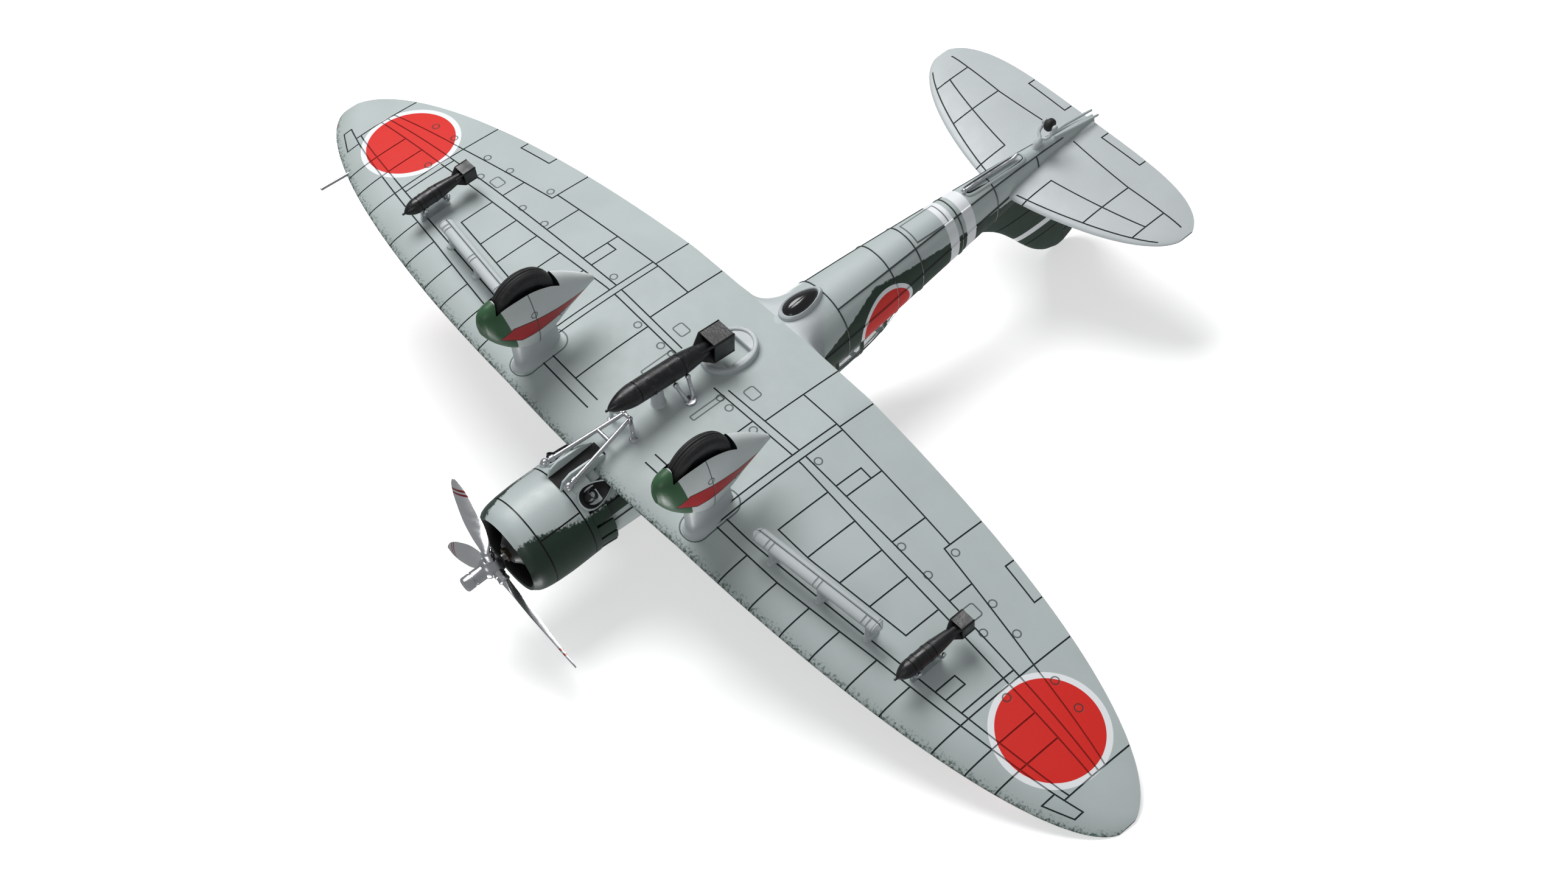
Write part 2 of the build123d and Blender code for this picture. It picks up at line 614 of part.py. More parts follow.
# ---- propeller -------------------------------------------------------------------------------------------
def blade(angle):
    """One twisted blade, from its round root inside the hub to its tip."""
    out = Vector(cos(radians(angle)), 0, sin(radians(angle)))
    turn = Vector(-sin(radians(angle)), 0, cos(radians(angle)))
    sections = []
    for radius, half_chord, half_thickness, pitch in BLADE_SECTIONS:
        chord = turn * cos(radians(pitch)) - Vector(0, 1, 0) * sin(radians(pitch))
        at = out * (radius * PROP_RADIUS / BLADE_SECTIONS[-1][0]) + Vector(0, PROP_Y, 0)
        sections.append(Plane(origin=at, x_dir=chord, z_dir=out) * Ellipse(half_chord, half_thickness))
    return loft([section.face() for section in sections])


blade_solids = [blade(PROP_FIRST_ANGLE + 360 * i / BLADES) for i in range(BLADES)]
hub_front_y = PROP_Y - HUB_HALF_LENGTH
hub_back_y = PROP_Y + HUB_HALF_LENGTH
hub = turned([(0, HUB_FRONT_Y), (SPINNER_RADIUS, HUB_FRONT_Y), (SPINNER_RADIUS, hub_front_y - HUB_CHAMFER),
              (HUB_RADIUS, hub_front_y), (HUB_RADIUS, hub_back_y),
              (HUB_BACK_RADIUS, hub_back_y + HUB_CHAMFER), (0, hub_back_y + HUB_CHAMFER)])
shaft = rod((0, PROP_Y + SHAFT_IN_HUB, 0), (0, SHAFT_END_Y, 0), SHAFT_RADIUS)
for cutter in blade_solids + [shaft]:
    hub = hub - cutter
collar = turned([(SHAFT_RADIUS, collar_front_y), (COLLAR_RADIUS, collar_front_y),
                 (COLLAR_RADIUS, SHAFT_END_Y), (SHAFT_RADIUS, SHAFT_END_Y)])
parts["prop_hub"] = largest(hub)
parts["prop_blades"] = Compound(children=[piece.solid() for piece in blade_solids])
parts["prop_shaft"] = shaft
parts["shaft_collar"] = collar

# ---- main wheels in their spats --------------------------------------------------------------------------
wheel_center = (WHEEL_X, WHEEL_Y, WHEEL_Z)
well_radius, well_half_width = TYRE_RADIUS + WHEEL_GAP, TYRE_HALF_WIDTH + WHEEL_GAP
spat_stations = [(WHEEL_Y + aft * well_radius, half * well_half_width, WHEEL_Z + top * well_radius,
                  WHEEL_Z + bottom * well_radius) for aft, half, top, bottom in SPAT_STATIONS]
spat = body_loft(spat_stations, SPAT_ROUNDNESS, center_x=WHEEL_X, ruled=True)
wheel_well = disc(wheel_center, well_radius, well_half_width)
axle = disc(wheel_center, AXLE_RADIUS, AXLE_HALF_LENGTH)
leg_sections = [lens_section(lambda along, across, z=z: (WHEEL_X + across, along, z), LEG_FRONT_Y, LEG_BACK_Y,
                             LEG_HALF_WIDTH) for z in (WING_Z, WHEEL_Z + TYRE_RADIUS)]
leg = largest(loft(leg_sections) - spat - parts["wing_lower"])
outer_half = slab((WHEEL_X, -FAR, -FAR), (FAR, FAR, FAR))
spat_walls = spat - wheel_well - axle
tyre = disc(wheel_center, TYRE_RADIUS, TYRE_HALF_WIDTH)
tyre = fillet(tyre.edges(), TYRE_HALF_WIDTH * 0.85) - disc(wheel_center, RIM_RADIUS, FAR)
wheel_hub = disc(wheel_center, RIM_RADIUS, TYRE_HALF_WIDTH * 0.8) - disc(
    wheel_center, AXLE_RADIUS + RUNNING_CLEARANCE, FAR)
gear = {
    "spat_outer": spat_walls & outer_half,
    "spat_inner": spat_walls - outer_half,
    "leg_fairing": leg,
    "axle": axle,
    "tyre": tyre,
    "wheel_hub": wheel_hub,
}
for name, shape in gear.items():
    for side_name, piece in zip(("port", "starboard"), both_sides(shape)):
        parts[f"{name}_{side_name}"] = largest(piece)

# ---- tail wheel ------------------------------------------------------------------------------------------
tail_center = (0, TAIL_WHEEL_Y, TAIL_WHEEL_Z)
tail_axle = disc(tail_center, TAIL_AXLE_RADIUS, TAIL_FORK_X + TAIL_FORK_RADIUS / 2)
tail_leg = rod(TAIL_LEG_TOP, TAIL_FORK_JOINT, TAIL_LEG_RADIUS)
for side in (-1, 1):
    knee = (side * TAIL_FORK_X, TAIL_FORK_JOINT[1] + TAIL_FORK_RADIUS, TAIL_FORK_JOINT[2])
    eye = (side * TAIL_FORK_X, TAIL_WHEEL_Y, TAIL_WHEEL_Z)
    tail_leg = tail_leg + rod(TAIL_FORK_JOINT, knee, TAIL_FORK_RADIUS) + rod(knee, eye, TAIL_FORK_RADIUS)
    tail_leg = tail_leg + Pos(*knee) * Sphere(TAIL_FORK_RADIUS) + disc(eye, TAIL_LEG_RADIUS, TAIL_FORK_RADIUS)
tail_tyre = disc(tail_center, TAIL_TYRE_RADIUS, TAIL_TYRE_HALF_WIDTH)
tail_tyre = fillet(tail_tyre.edges(), TAIL_TYRE_HALF_WIDTH * 0.8)
parts["tail_wheel"] = tail_tyre - tail_axle
parts["tail_wheel_axle"] = tail_axle
parts["tail_wheel_leg"] = largest(tail_leg - tail_axle - fuselage_solid)

# ---- cockpit ---------------------------------------------------------------------------------------------
tub = slab((-TUB_HALF_WIDTH, TUB_FRONT_Y, TUB_FLOOR_Z), (TUB_HALF_WIDTH, TUB_BACK_Y, TUB_RIM_Z))
tub_room = slab((-TUB_HALF_WIDTH + TUB_WALL, TUB_FRONT_Y + TUB_WALL, TUB_FLOOR_Z + TUB_WALL),
                (TUB_HALF_WIDTH - TUB_WALL, TUB_BACK_Y - TUB_WALL, FAR))
cockpit_opening = slab((-TUB_HALF_WIDTH, TUB_FRONT_Y, COCKPIT_OPENING_Z), (TUB_HALF_WIDTH, TUB_BACK_Y, FAR))
shell = shell - cockpit_opening - tub
seat_solids = []
for seat_y in SEAT_STATIONS_Y:
    pan = slab((-SEAT_HALF, seat_y - SEAT_HALF, TUB_FLOOR_Z + TUB_WALL),
               (SEAT_HALF, seat_y + SEAT_HALF, SEAT_PAN_Z))
    back = slab((-SEAT_HALF, seat_y + SEAT_HALF - SEAT_BACK_THICKNESS, SEAT_PAN_Z),
                (SEAT_HALF, seat_y + SEAT_HALF, SEAT_BACK_Z))
    seat_solids.append((pan + back).solid())
sight = rod((0, SIGHT_FRONT_Y, SIGHT_Z), (0, SIGHT_BACK_Y, SIGHT_Z), SIGHT_RADIUS)
sight_stay = rod(SIGHT_STAY, (0, SIGHT_STAY[1], SIGHT_Z), SIGHT_STAY_RADIUS)
gun_post_top = GUN_PIVOT[2] + GUN_RADIUS
gun_post = rod((0, GUN_POST_Y, TUB_FLOOR_Z + TUB_WALL), (0, GUN_POST_Y, gun_post_top), GUN_RADIUS)
gun = rod(GUN_PIVOT, GUN_MUZZLE, GUN_RADIUS) + gun_post
mast_foot_z = station_at(CANOPY_STATIONS, MAST_Y)[1] - CANOPY_WALL / 2
mast = loft([(Pos(0, MAST_Y, mast_foot_z) * Ellipse(*MAST_FOOT)).face(),
             (Pos(0, MAST_Y + MAST_RAKE, MAST_TOP_Z) * Ellipse(*MAST_TIP)).face()])
parts["canopy_glazing"] = largest(canopy_solid - canopy_hollow - sight - mast)
parts["cockpit_tub"] = tub - tub_room
parts["crew_seats"] = Compound(children=seat_solids)
parts["rear_gun"] = largest(gun)
parts["gun_sight"] = largest(sight + sight_stay - fuselage_solid)
parts["antenna_mast"] = mast

# ---- fuselage halves -------------------------------------------------------------------------------------
parts["fuselage_port"] = largest(shell & PORT_SIDE)
parts["fuselage_starboard"] = largest(shell & STARBOARD_SIDE)
hook_tip = (0, HOOK_BACK[1] - HOOK_END_GAP, HOOK_BACK[2])
parts["arrestor_hook"] = rod(HOOK_FRONT, hook_tip, HOOK_RADIUS)

# ---- main bomb on its supports ---------------------------------------------------------------------------
bomb_axis = (Vector(*BOMB_TAIL) - Vector(*BOMB_NOSE)).normalized()
bomb_length = (Vector(*BOMB_TAIL) - Vector(*BOMB_NOSE)).length
bomb_place = Plane(origin=BOMB_NOSE, x_dir=(1, 0, 0), z_dir=bomb_axis)


def bomb_body(radius, nose, straight, length, tail_radius):
    """Bomb casing turned about Z from its pointed nose at the origin, with a long cone at the tail."""
    ogive = Spline((0, 0), (radius * 0.55, nose * 0.28), (radius * 0.88, nose * 0.62), (radius, nose),
                   tangents=[(0.7, 0.7), (0, 1)])
    edges = [ogive.edge()]
    corners = [(radius, nose), (radius, nose + straight), (tail_radius, length), (0, length), (0, 0)]
    edges += [Line(a, b).edge() for a, b in zip(corners, corners[1:])]
    profile = Face(Wire(edges))
    return Rot(90, 0, 0) * revolve(profile, Axis.Y)


def bomb_fins(body, span, thickness, fin_length, length):
    """Four fins in a cross, sloping in ahead of the square ring that joins them, round the tail cone."""
    corner = span * sqrt(2)
    fin_front = length - fin_length
    ring_front = length - fin_length * 0.55
    fins = [Rot(0, 0, turn) * slab((-corner, -thickness / 2, fin_front), (corner, thickness / 2, length))
            for turn in (45, 135)]
    room = span - thickness
    ring = slab((-span, -span, ring_front), (span, span, length)) - slab((-room, -room, 0), (room, room, FAR))
    slope = Cone(span * 0.4, corner, ring_front - fin_front, align=(Align.CENTER, Align.CENTER, Align.MIN))
    envelope = Pos(0, 0, fin_front) * slope + slab((-span, -span, ring_front), (span, span, length))
    box = slab((-span, -span, 0), (span, span, length))
    return ((fins[0] + fins[1]) & envelope & box) + ring - body


casing = bomb_body(BOMB_RADIUS, BOMB_NOSE_LENGTH, BOMB_BODY_LENGTH, bomb_length - BOMB_TAIL_INSET,
                   BOMB_TAIL_RADIUS)
fins = bomb_fins(casing, BOMB_FIN_SPAN, BOMB_FIN_THICKNESS, BOMB_FIN_LENGTH, bomb_length)
main_bomb = bomb_place * casing
pylon = rod((0, PYLON_Y, WING_Z), (0, PYLON_Y, BOMB_TAIL[2]), PYLON_RADIUS)
parts["bomb_casing"] = main_bomb
parts["bomb_fins"] = bomb_place * fins
parts["bomb_pylon"] = largest(pylon - main_bomb - parts["wing_lower"])


def brace(side):
    """V-shaped stay on one side: a foot on the belly and two arms up to the bomb's flank."""
    foot = (side * BRACE_FOOT[0], BRACE_FOOT[1], lower_z(0, BRACE_FOOT[1]) - BRACE_RADIUS)
    shape = Pos(*foot) * Box(*BRACE_PAD)
    share = (BRACE_FOOT[1] - BOMB_NOSE[1]) / (BOMB_TAIL[1] - BOMB_NOSE[1])
    bomb_z = BOMB_NOSE[2] + share * (BOMB_TAIL[2] - BOMB_NOSE[2])
    flank_x = BOMB_RADIUS * cos(radians(BRACE_ANGLE))
    flank_z = bomb_z + BOMB_RADIUS * sin(radians(BRACE_ANGLE))
    for run in (-1, 1):
        top = (side * flank_x, BRACE_FOOT[1] + run * BRACE_SPREAD, flank_z)
        shape = shape + rod((foot[0], foot[1] + run * BRACE_RADIUS, foot[2]), top, BRACE_RADIUS)
    return largest(shape - main_bomb - parts["wing_lower"])


parts["bomb_rear_braces"] = Compound(children=[brace(1), brace(-1)])


def crutch():
    """Swing crutch: two arms with ball ends ahead, a cross bar, and a clip over the belly at the back."""
    shape = None
    ball_z = -sqrt((nose_radius + CRUTCH_GAP + CRUTCH_BALL_RADIUS) ** 2 - CRUTCH_BALL_X ** 2)
    for side in (-1, 1):
        ball = (side * CRUTCH_BALL_X, CRUTCH_BALL_Y, ball_z)
        head = (side * CRUTCH_HEAD[0], CRUTCH_HEAD[1], CRUTCH_HEAD[2])
        foot = (side * CLIP_FOOT[0], CLIP_FOOT[1], lower_z(0, CLIP_FOOT[1]))
        shoulder = (side * CLIP_FOOT[0], CLIP_FOOT[1], CRUTCH_HEAD[2] + CLIP_RISE)
        arm = rod(ball, head, CRUTCH_RADIUS) + Pos(*ball) * Sphere(CRUTCH_BALL_RADIUS)
        clip = rod(foot, shoulder, CRUTCH_RADIUS) + rod(shoulder, head, CRUTCH_RADIUS)
        arm = arm + clip + Pos(*shoulder) * Sphere(CRUTCH_RADIUS) + Pos(*head) * Sphere(CRUTCH_RADIUS)
        shape = arm if shape is None else shape + arm
    share = (CRUTCH_BAR_Y - CRUTCH_BALL_Y) / (CRUTCH_HEAD[1] - CRUTCH_BALL_Y)
    bar_x = CRUTCH_BALL_X + share * (CRUTCH_HEAD[0] - CRUTCH_BALL_X)
    bar_z = ball_z + share * (CRUTCH_HEAD[2] - ball_z)
    shape = shape + rod((-bar_x, CRUTCH_BAR_Y, bar_z), (bar_x, CRUTCH_BAR_Y, bar_z), CRUTCH_RADIUS)
    shape = shape + rod((-CRUTCH_HEAD[0], CRUTCH_HEAD[1], CRUTCH_HEAD[2]), CRUTCH_HEAD, CRUTCH_RADIUS)
    return shape - main_bomb - parts["wing_lower"] - scoop


parts["bomb_crutch"] = largest(crutch())


# ---- dive brakes and small bombs -------------------------------------------------------------------------
def brake_point(share):
    """A point on the middle line of the port brake slat."""
    return Vector(*BRAKE_INNER) + (Vector(*BRAKE_OUTER) - Vector(*BRAKE_INNER)) * share


slat_run = Vector(*BRAKE_OUTER) - Vector(*BRAKE_INNER)
slat_place = Plane(origin=brake_point(0.5), x_dir=(0, 1, 0), z_dir=slat_run)
slat = slat_place * extrude(Ellipse(BRAKE_HALF_CHORD, BRAKE_HALF_THICKNESS), slat_run.length / 2, both=True)
strut_solids = []
for share in BRAKE_STRUT_SHARES:
    top = brake_point(share)
    foot_z = lower_z(top.X, top.Y)
    strut = slab((top.X - STRUT_HALF_WIDTH, top.Y - STRUT_HALF_CHORD, top.Z),
                 (top.X + STRUT_HALF_WIDTH, top.Y + STRUT_HALF_CHORD, foot_z + STRUT_ROOT))
    foot = slab((top.X - STRUT_FOOT_HALF[0], top.Y - STRUT_FOOT_HALF[1], foot_z - STRUT_FOOT_HEIGHT),
                (top.X + STRUT_FOOT_HALF[0], top.Y + STRUT_FOOT_HALF[1], foot_z + STRUT_ROOT))
    strut_solids.append(largest(strut + foot - slat - parts["wing_lower"]))
struts = Compound(children=strut_solids)

small_casing = bomb_body(SMALL_BOMB_RADIUS, SMALL_BOMB_NOSE_LENGTH, SMALL_BOMB_BODY_LENGTH,
                         SMALL_BOMB_LENGTH - SMALL_FIN_THICKNESS, SMALL_BOMB_TAIL_RADIUS)
small_fins = bomb_fins(small_casing, SMALL_FIN_SPAN, SMALL_FIN_THICKNESS, SMALL_FIN_LENGTH, SMALL_BOMB_LENGTH)
small_place = Plane(origin=(SMALL_BOMB_X, SMALL_BOMB_NOSE_Y, SMALL_BOMB_Z), x_dir=(1, 0, 0), z_dir=(0, 1, 0))
small_bomb = small_place * (small_casing + small_fins)
rack_top_z = lower_z(SMALL_BOMB_X, RACK_Y) + RACK_HALF_WIDTH * 2
rack = slab((SMALL_BOMB_X - RACK_HALF_WIDTH, RACK_Y - RACK_HALF_LENGTH, SMALL_BOMB_Z),
            (SMALL_BOMB_X + RACK_HALF_WIDTH, RACK_Y + RACK_HALF_LENGTH, rack_top_z))
for run in (-1, 1):
    stay_y = RACK_Y + run * (RACK_HALF_LENGTH - RACK_HALF_WIDTH)
    for side in (-1, 1):
        rack = rack + rod((SMALL_BOMB_X + side * RACK_STAY_X, stay_y, SMALL_BOMB_Z + SMALL_BOMB_RADIUS * 0.7),
                          (SMALL_BOMB_X, stay_y, SMALL_BOMB_Z + SMALL_BOMB_RADIUS * 1.9), RACK_STAY_RADIUS)
rack = largest(rack - small_bomb - parts["wing_lower"])
under_wing = {"dive_brake": slat, "brake_struts": struts, "small_bomb": small_bomb, "bomb_rack": rack}
for name, shape in under_wing.items():
    for side_name, piece in zip(("port", "starboard"), both_sides(shape)):
        parts[f"{name}_{side_name}"] = piece

# ---- tip the model onto its wheels and write every piece -------------------------------------------------
wheel_base = hypot(TAIL_WHEEL_Y - WHEEL_Y, TAIL_WHEEL_Z - WHEEL_Z)
ground_angle = degrees(atan2(TAIL_WHEEL_Z - WHEEL_Z, TAIL_WHEEL_Y - WHEEL_Y)
                       + asin((TYRE_RADIUS - TAIL_TYRE_RADIUS) / wheel_base))
tipped = {name: Rot(-ground_angle, 0, 0) * shape for name, shape in parts.items()}
boxes = [shape.bounding_box() for shape in tipped.values()]
low = [min(getattr(box.min, axis) for box in boxes) for axis in "XYZ"]
high = [max(getattr(box.max, axis) for box in boxes) for axis in "XYZ"]
to_origin = Pos(0, -(low[1] + high[1]) / 2, -low[2])

os.makedirs("parts", exist_ok=True)
for name, shape in tipped.items():
    export_step(to_origin * shape, f"parts/{name}.step")


def ground_point(x, y, z):
    """Where a point of the level frame lies once the model stands on its wheels."""
    angle = radians(-ground_angle)
    middle_y = (low[1] + high[1]) / 2
    return (x, y * cos(angle) - z * sin(angle) - middle_y, y * sin(angle) + z * cos(angle) - low[2])


print(f"{len(parts)} nodes, ground angle {ground_angle:.4f}")
print("box", [round(b - a, 3) for a, b in zip(low, high)])
print("shift", round(-(low[1] + high[1]) / 2, 4), round(-low[2], 4))
places = {
    "prop": (0, PROP_Y, 0),
    "wheel": wheel_center,
    "tail wheel": tail_center,
    "slot mouth": (0, SOCKET_Y, socket_face_z),
    "slot floor": (0, SOCKET_Y, slot_floor_z),
}
for label, point in places.items():
    print(label, [round(v, 4) for v in ground_point(*point)])
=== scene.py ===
"""Finished look of the propeller plane model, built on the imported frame.

Shapes are worked out in the level frame, in millimetres: X to port, Y aft and Z up, with the propeller's
line at z = 0.
to_row() carries them to the frame's metres, where the model stands on its three wheels.
"""

import json

import bpy
import numpy as np
from mathutils import Matrix, Vector


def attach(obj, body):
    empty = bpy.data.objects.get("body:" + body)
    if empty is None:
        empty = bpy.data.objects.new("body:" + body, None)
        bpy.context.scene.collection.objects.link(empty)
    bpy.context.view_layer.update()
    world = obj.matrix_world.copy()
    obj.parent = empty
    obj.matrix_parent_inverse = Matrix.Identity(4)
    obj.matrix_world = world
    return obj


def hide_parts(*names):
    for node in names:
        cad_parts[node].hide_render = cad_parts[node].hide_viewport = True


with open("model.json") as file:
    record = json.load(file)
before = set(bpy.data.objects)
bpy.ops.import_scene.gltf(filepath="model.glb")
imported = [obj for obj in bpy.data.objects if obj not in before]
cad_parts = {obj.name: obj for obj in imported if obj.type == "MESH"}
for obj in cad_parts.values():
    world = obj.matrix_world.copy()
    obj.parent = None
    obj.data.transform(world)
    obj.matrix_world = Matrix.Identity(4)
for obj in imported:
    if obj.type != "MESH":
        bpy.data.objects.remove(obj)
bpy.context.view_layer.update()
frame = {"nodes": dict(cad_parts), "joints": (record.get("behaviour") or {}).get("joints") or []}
nodes = frame["nodes"]

# ---- level frame ----------------------------------------------------------------------------------
MM = 0.001
PROP_Y = -65.2
spin = next(joint for joint in frame["joints"] if joint["name"] == "propeller_spin")
AFT = -np.array(spin["axis"], float)
AFT /= np.linalg.norm(AFT)
RIGHTWARD = np.array([1.0, 0.0, 0.0])
UP = np.cross(RIGHTWARD, AFT)
ORIGIN = np.array(spin["pos_m"]) - AFT * PROP_Y * MM


def to_row(points):
    """Level-frame millimetres to the frame's metres."""
    points = np.asarray(points, float)
    return ORIGIN + MM * (points[..., :1] * RIGHTWARD + points[..., 1:2] * AFT + points[..., 2:] * UP)


# ---- sizes, in millimetres ------------------------------------------------------------------------
SEMI_SPAN, TIP_Y = 99.75, -24.0
LEADING_REACH, LEADING_POWER = 20.5, 1.85
TRAILING_REACH, TRAILING_POWER = 20.7, 2.6
WING_Z, KINK_X, DIHEDRAL = -7.7, 22.0, 0.125
LOWER_DEPTH, UPPER_HEIGHT, EDGE = 0.045, 0.085, 0.3
LINE_HALF = 0.135
LINE_DEPTH = 0.14
FUSELAGE = np.array([(-48.4, 7.3, 7.6, -7.6), (-36.0, 7.7, 8.3, -8.6), (-20.0, 7.6, 8.6, -8.6),
                     (-3.0, 7.2, 8.4, -7.9), (12.0, 6.2, 8.0, -7.2), (29.0, 4.6, 7.1, -6.1),
                     (42.0, 3.3, 6.3, -5.1), (54.0, 2.2, 5.3, -3.8), (64.0, 1.3, 4.3, -2.2),
                     (70.6, 0.6, 3.2, -0.8)])
CANOPY = np.array([(-22.0, 1.6, 8.9, 3.0), (-18.0, 3.2, 13.0, 3.0), (-13.0, 3.7, 15.3, 3.0),
                   (0.0, 3.8, 15.8, 3.0),
                   (12.0, 3.5, 14.6, 3.0), (20.0, 2.6, 11.8, 3.0), (24.0, 1.4, 8.6, 3.0)])
SPAT = np.array([(-45.9, 0.7, -22.2, -25.4), (-45.2, 1.55, -20.6, -26.6), (-43.8, 2.25, -18.2, -27.3),
                 (-41.2, 2.6, -15.0, -27.7), (-37.4, 2.75, -12.4, -27.5), (-33.4, 2.45, -13.6, -26.4),
                 (-29.6, 1.85, -15.5, -23.9), (-26.2, 1.15, -16.7, -20.7), (-23.9, 0.45, -17.2, -18.2)])
FIN = np.array([(5.0, 34.0, 69.8, 0.9), (8.0, 41.6, 70.6, 0.85), (12.0, 46.6, 70.9, 0.8),
                (16.5, 50.2, 70.7, 0.7),
                (21.0, 53.3, 69.9, 0.6), (25.0, 56.4, 68.3, 0.5), (27.6, 59.3, 66.4, 0.35),
                (28.8, 61.8, 64.4, 0.2)])
HULL_POWER = 2.25
FLANK_DISC, FLANK_DISC_RADIUS, FLANK_DISC_RING = (15.2, 2.6), 5.6, 0.8
TAIL_BANDS = ((31.6, 33.8), (35.8, 38.2))
BLADE_STRIPES = ((17.5, 18.0), (18.5, 19.0))
SOCKET_Y = -14.2
WING_BOMB_X, RACK_Y = 62.85, -29.4
HOOK_BAY_Y, HOOK_BAY_HALF_LENGTH, HOOK_BAY_HALF_WIDTH = 45.8, 6.9, 1.15
WHEEL = np.array((22.0, -37.4, -23.6))
TYRE_HALF = 1.35
BOMB_NOSE, BOMB_TAIL = np.array((0, -39.0, -16.6)), np.array((0, -14.2, -13.7))


# ---- finishes -------------------------------------------------------------------------------------
class Finish:
    """A procedural surface, with patterns on the piece's object coordinates in level millimetres."""

    def __init__(self, name, colour, roughness=0.45, metallic=0.0, mottle=0.06, grain=0.04, gloss=0.5):
        self.material = bpy.data.materials.new(name)
        self.material.use_nodes = True
        self.tree = self.material.node_tree
        self.shader = self.tree.nodes["Principled BSDF"]
        place = self.node("ShaderNodeMapping")
        place.inputs["Scale"].default_value = (1 / MM,) * 3
        place.inputs["Rotation"].default_value = (float(np.arctan2(UP[1], UP[2])), 0, 0)
        place.inputs["Location"].default_value = tuple(
            float(-np.dot(axis, ORIGIN) / MM) for axis in (RIGHTWARD, AFT, UP))
        self.link(self.node("ShaderNodeTexCoord").outputs["Object"], place.inputs["Vector"])
        self.point = place.outputs["Vector"]
        split = self.node("ShaderNodeSeparateXYZ")
        self.link(self.point, split.inputs[0])
        self.x, self.y, self.z = split.outputs
        self.side = self.math("ABSOLUTE", self.x)
        self.colour = self.shade(colour)
        self.set("Metallic", metallic)
        self.set("Specular IOR Level", gloss)
        cloud = self.noise(0.09, 4)
        self.darken(self.span(cloud, 0.35, 0.7, 0, mottle), (0, 0, 0, 1))
        self.roughness = self.math("ADD", self.span(self.noise(0.5, 3), 0.3, 0.7, -grain, grain), roughness)
        self.height = self.span(self.noise(2.2, 3), 0.2, 0.8, 0, 0.012)

    def node(self, kind):
        return self.tree.nodes.new(kind)

    def link(self, source, target):
        self.tree.links.new(source, target)

    def feed(self, socket, value):
        """A number or colour sets the socket, and another node's output is joined to it."""
        if isinstance(value, bpy.types.NodeSocket):
            self.link(value, socket)
        else:
            socket.default_value = value

    def set(self, name, value):
        self.feed(self.shader.inputs[name], value)

    def shade(self, colour):
        """A plain colour as a node's output."""
        source = self.node("ShaderNodeRGB")
        source.outputs[0].default_value = (*colour[:3], 1)
        return source.outputs[0]

    def math(self, operation, *values, clamp=False):
        result = self.node("ShaderNodeMath")
        result.operation, result.use_clamp = operation, clamp
        for socket, value in zip(result.inputs, values):
            self.feed(socket, value)
        return result.outputs[0]

    def noise(self, scale, detail, stretch=(1, 1, 1)):
        """Noise whose scale is in cycles per millimetre."""
        stretched = self.node("ShaderNodeMapping")
        stretched.inputs["Scale"].default_value = stretch
        self.link(self.point, stretched.inputs["Vector"])
        pattern = self.node("ShaderNodeTexNoise")
        pattern.inputs["Scale"].default_value = scale
        pattern.inputs["Detail"].default_value = detail
        self.link(stretched.outputs[0], pattern.inputs["Vector"])
        return pattern.outputs["Fac"]

    def span(self, value, low, high, first=0.0, last=1.0):
        """Smooth step from first, at or below low, to last, at or above high."""
        step = self.node("ShaderNodeMapRange")
        step.interpolation_type = "SMOOTHSTEP"
        for socket, number in zip(step.inputs, (value, low, high, first, last)):
            self.feed(socket, number)
        return step.outputs[0]

    def below(self, value, edge, soft=0.03):
        return self.span(value, edge - soft, edge + soft, 1.0, 0.0)

    def above(self, value, edge, soft=0.03):
        return self.span(value, edge - soft, edge + soft)

    def between(self, value, low, high, soft=0.03):
        return self.every(self.above(value, low, soft), self.below(value, high, soft))

    def every(self, *masks):
        """All of the masks at once."""
        result = masks[0]
        for mask in masks[1:]:
            result = self.math("MULTIPLY", result, mask)
        return result

    def distance(self, across, along, center):
        """Distance of two coordinates from a centre."""
        first = self.math("SUBTRACT", across, center[0])
        second = self.math("SUBTRACT", along, center[1])
        return self.math("SQRT", self.math("ADD", self.math("MULTIPLY", first, first),
                                           self.math("MULTIPLY", second, second)))

    def slanted(self, first, second, start, end):
        """Distance to the left of the straight line from start to end, in two coordinates."""
        run = np.subtract(end, start)
        run = run / np.linalg.norm(run)
        return self.math("ADD", self.math("MULTIPLY", self.math("SUBTRACT", first, start[0]), -float(run[1])),
                         self.math("MULTIPLY", self.math("SUBTRACT", second, start[1]), float(run[0])))

    def darken(self, mask, colour):
        """Lays another colour over the finish where the mask is."""
        mix = self.node("ShaderNodeMix")
        mix.data_type = "RGBA"
        self.feed(mix.inputs["Factor"], mask)
        self.feed(mix.inputs[6], self.colour)
        self.feed(mix.inputs[7], colour if isinstance(colour, bpy.types.NodeSocket) else (*colour[:3], 1))
        self.colour = mix.outputs[2]

    def engrave(self, mask, colour, depth=0.1):
        """A line cut into the paint, with dark wash in it."""
        self.darken(self.math("MULTIPLY", mask, 0.8), colour)
        self.height = self.math("SUBTRACT", self.height, self.math("MULTIPLY", mask, depth))

    def ring(self, center, radius, half=0.11, across=None, along=None):
        """Mask of a thin circle."""
        away = self.distance(self.side if across is None else across, self.y if along is None else along,
                             center)
        return self.below(self.math("ABSOLUTE", self.math("SUBTRACT", away, radius)), half, 0.05)

    def done(self, bump=0.6):
        self.feed(self.shader.inputs["Base Color"], self.colour)
        self.feed(self.shader.inputs["Roughness"], self.roughness)
        relief = self.node("ShaderNodeBump")
        relief.inputs["Strength"].default_value = bump
        relief.inputs["Distance"].default_value = MM
        self.feed(relief.inputs["Height"], self.height)
        self.link(relief.outputs["Normal"], self.shader.inputs["Normal"])
        return self.material


GREY = (0.46, 0.515, 0.51)
GREEN = (0.012, 0.036, 0.021)
BAND_WHITE = (0.82, 0.84, 0.86)
RED = (0.68, 0.016, 0.010)
DARK_RED = (0.3, 0.008, 0.006)
WASH = (0.022, 0.034, 0.034)
BLACK = (0.006, 0.006, 0.007)

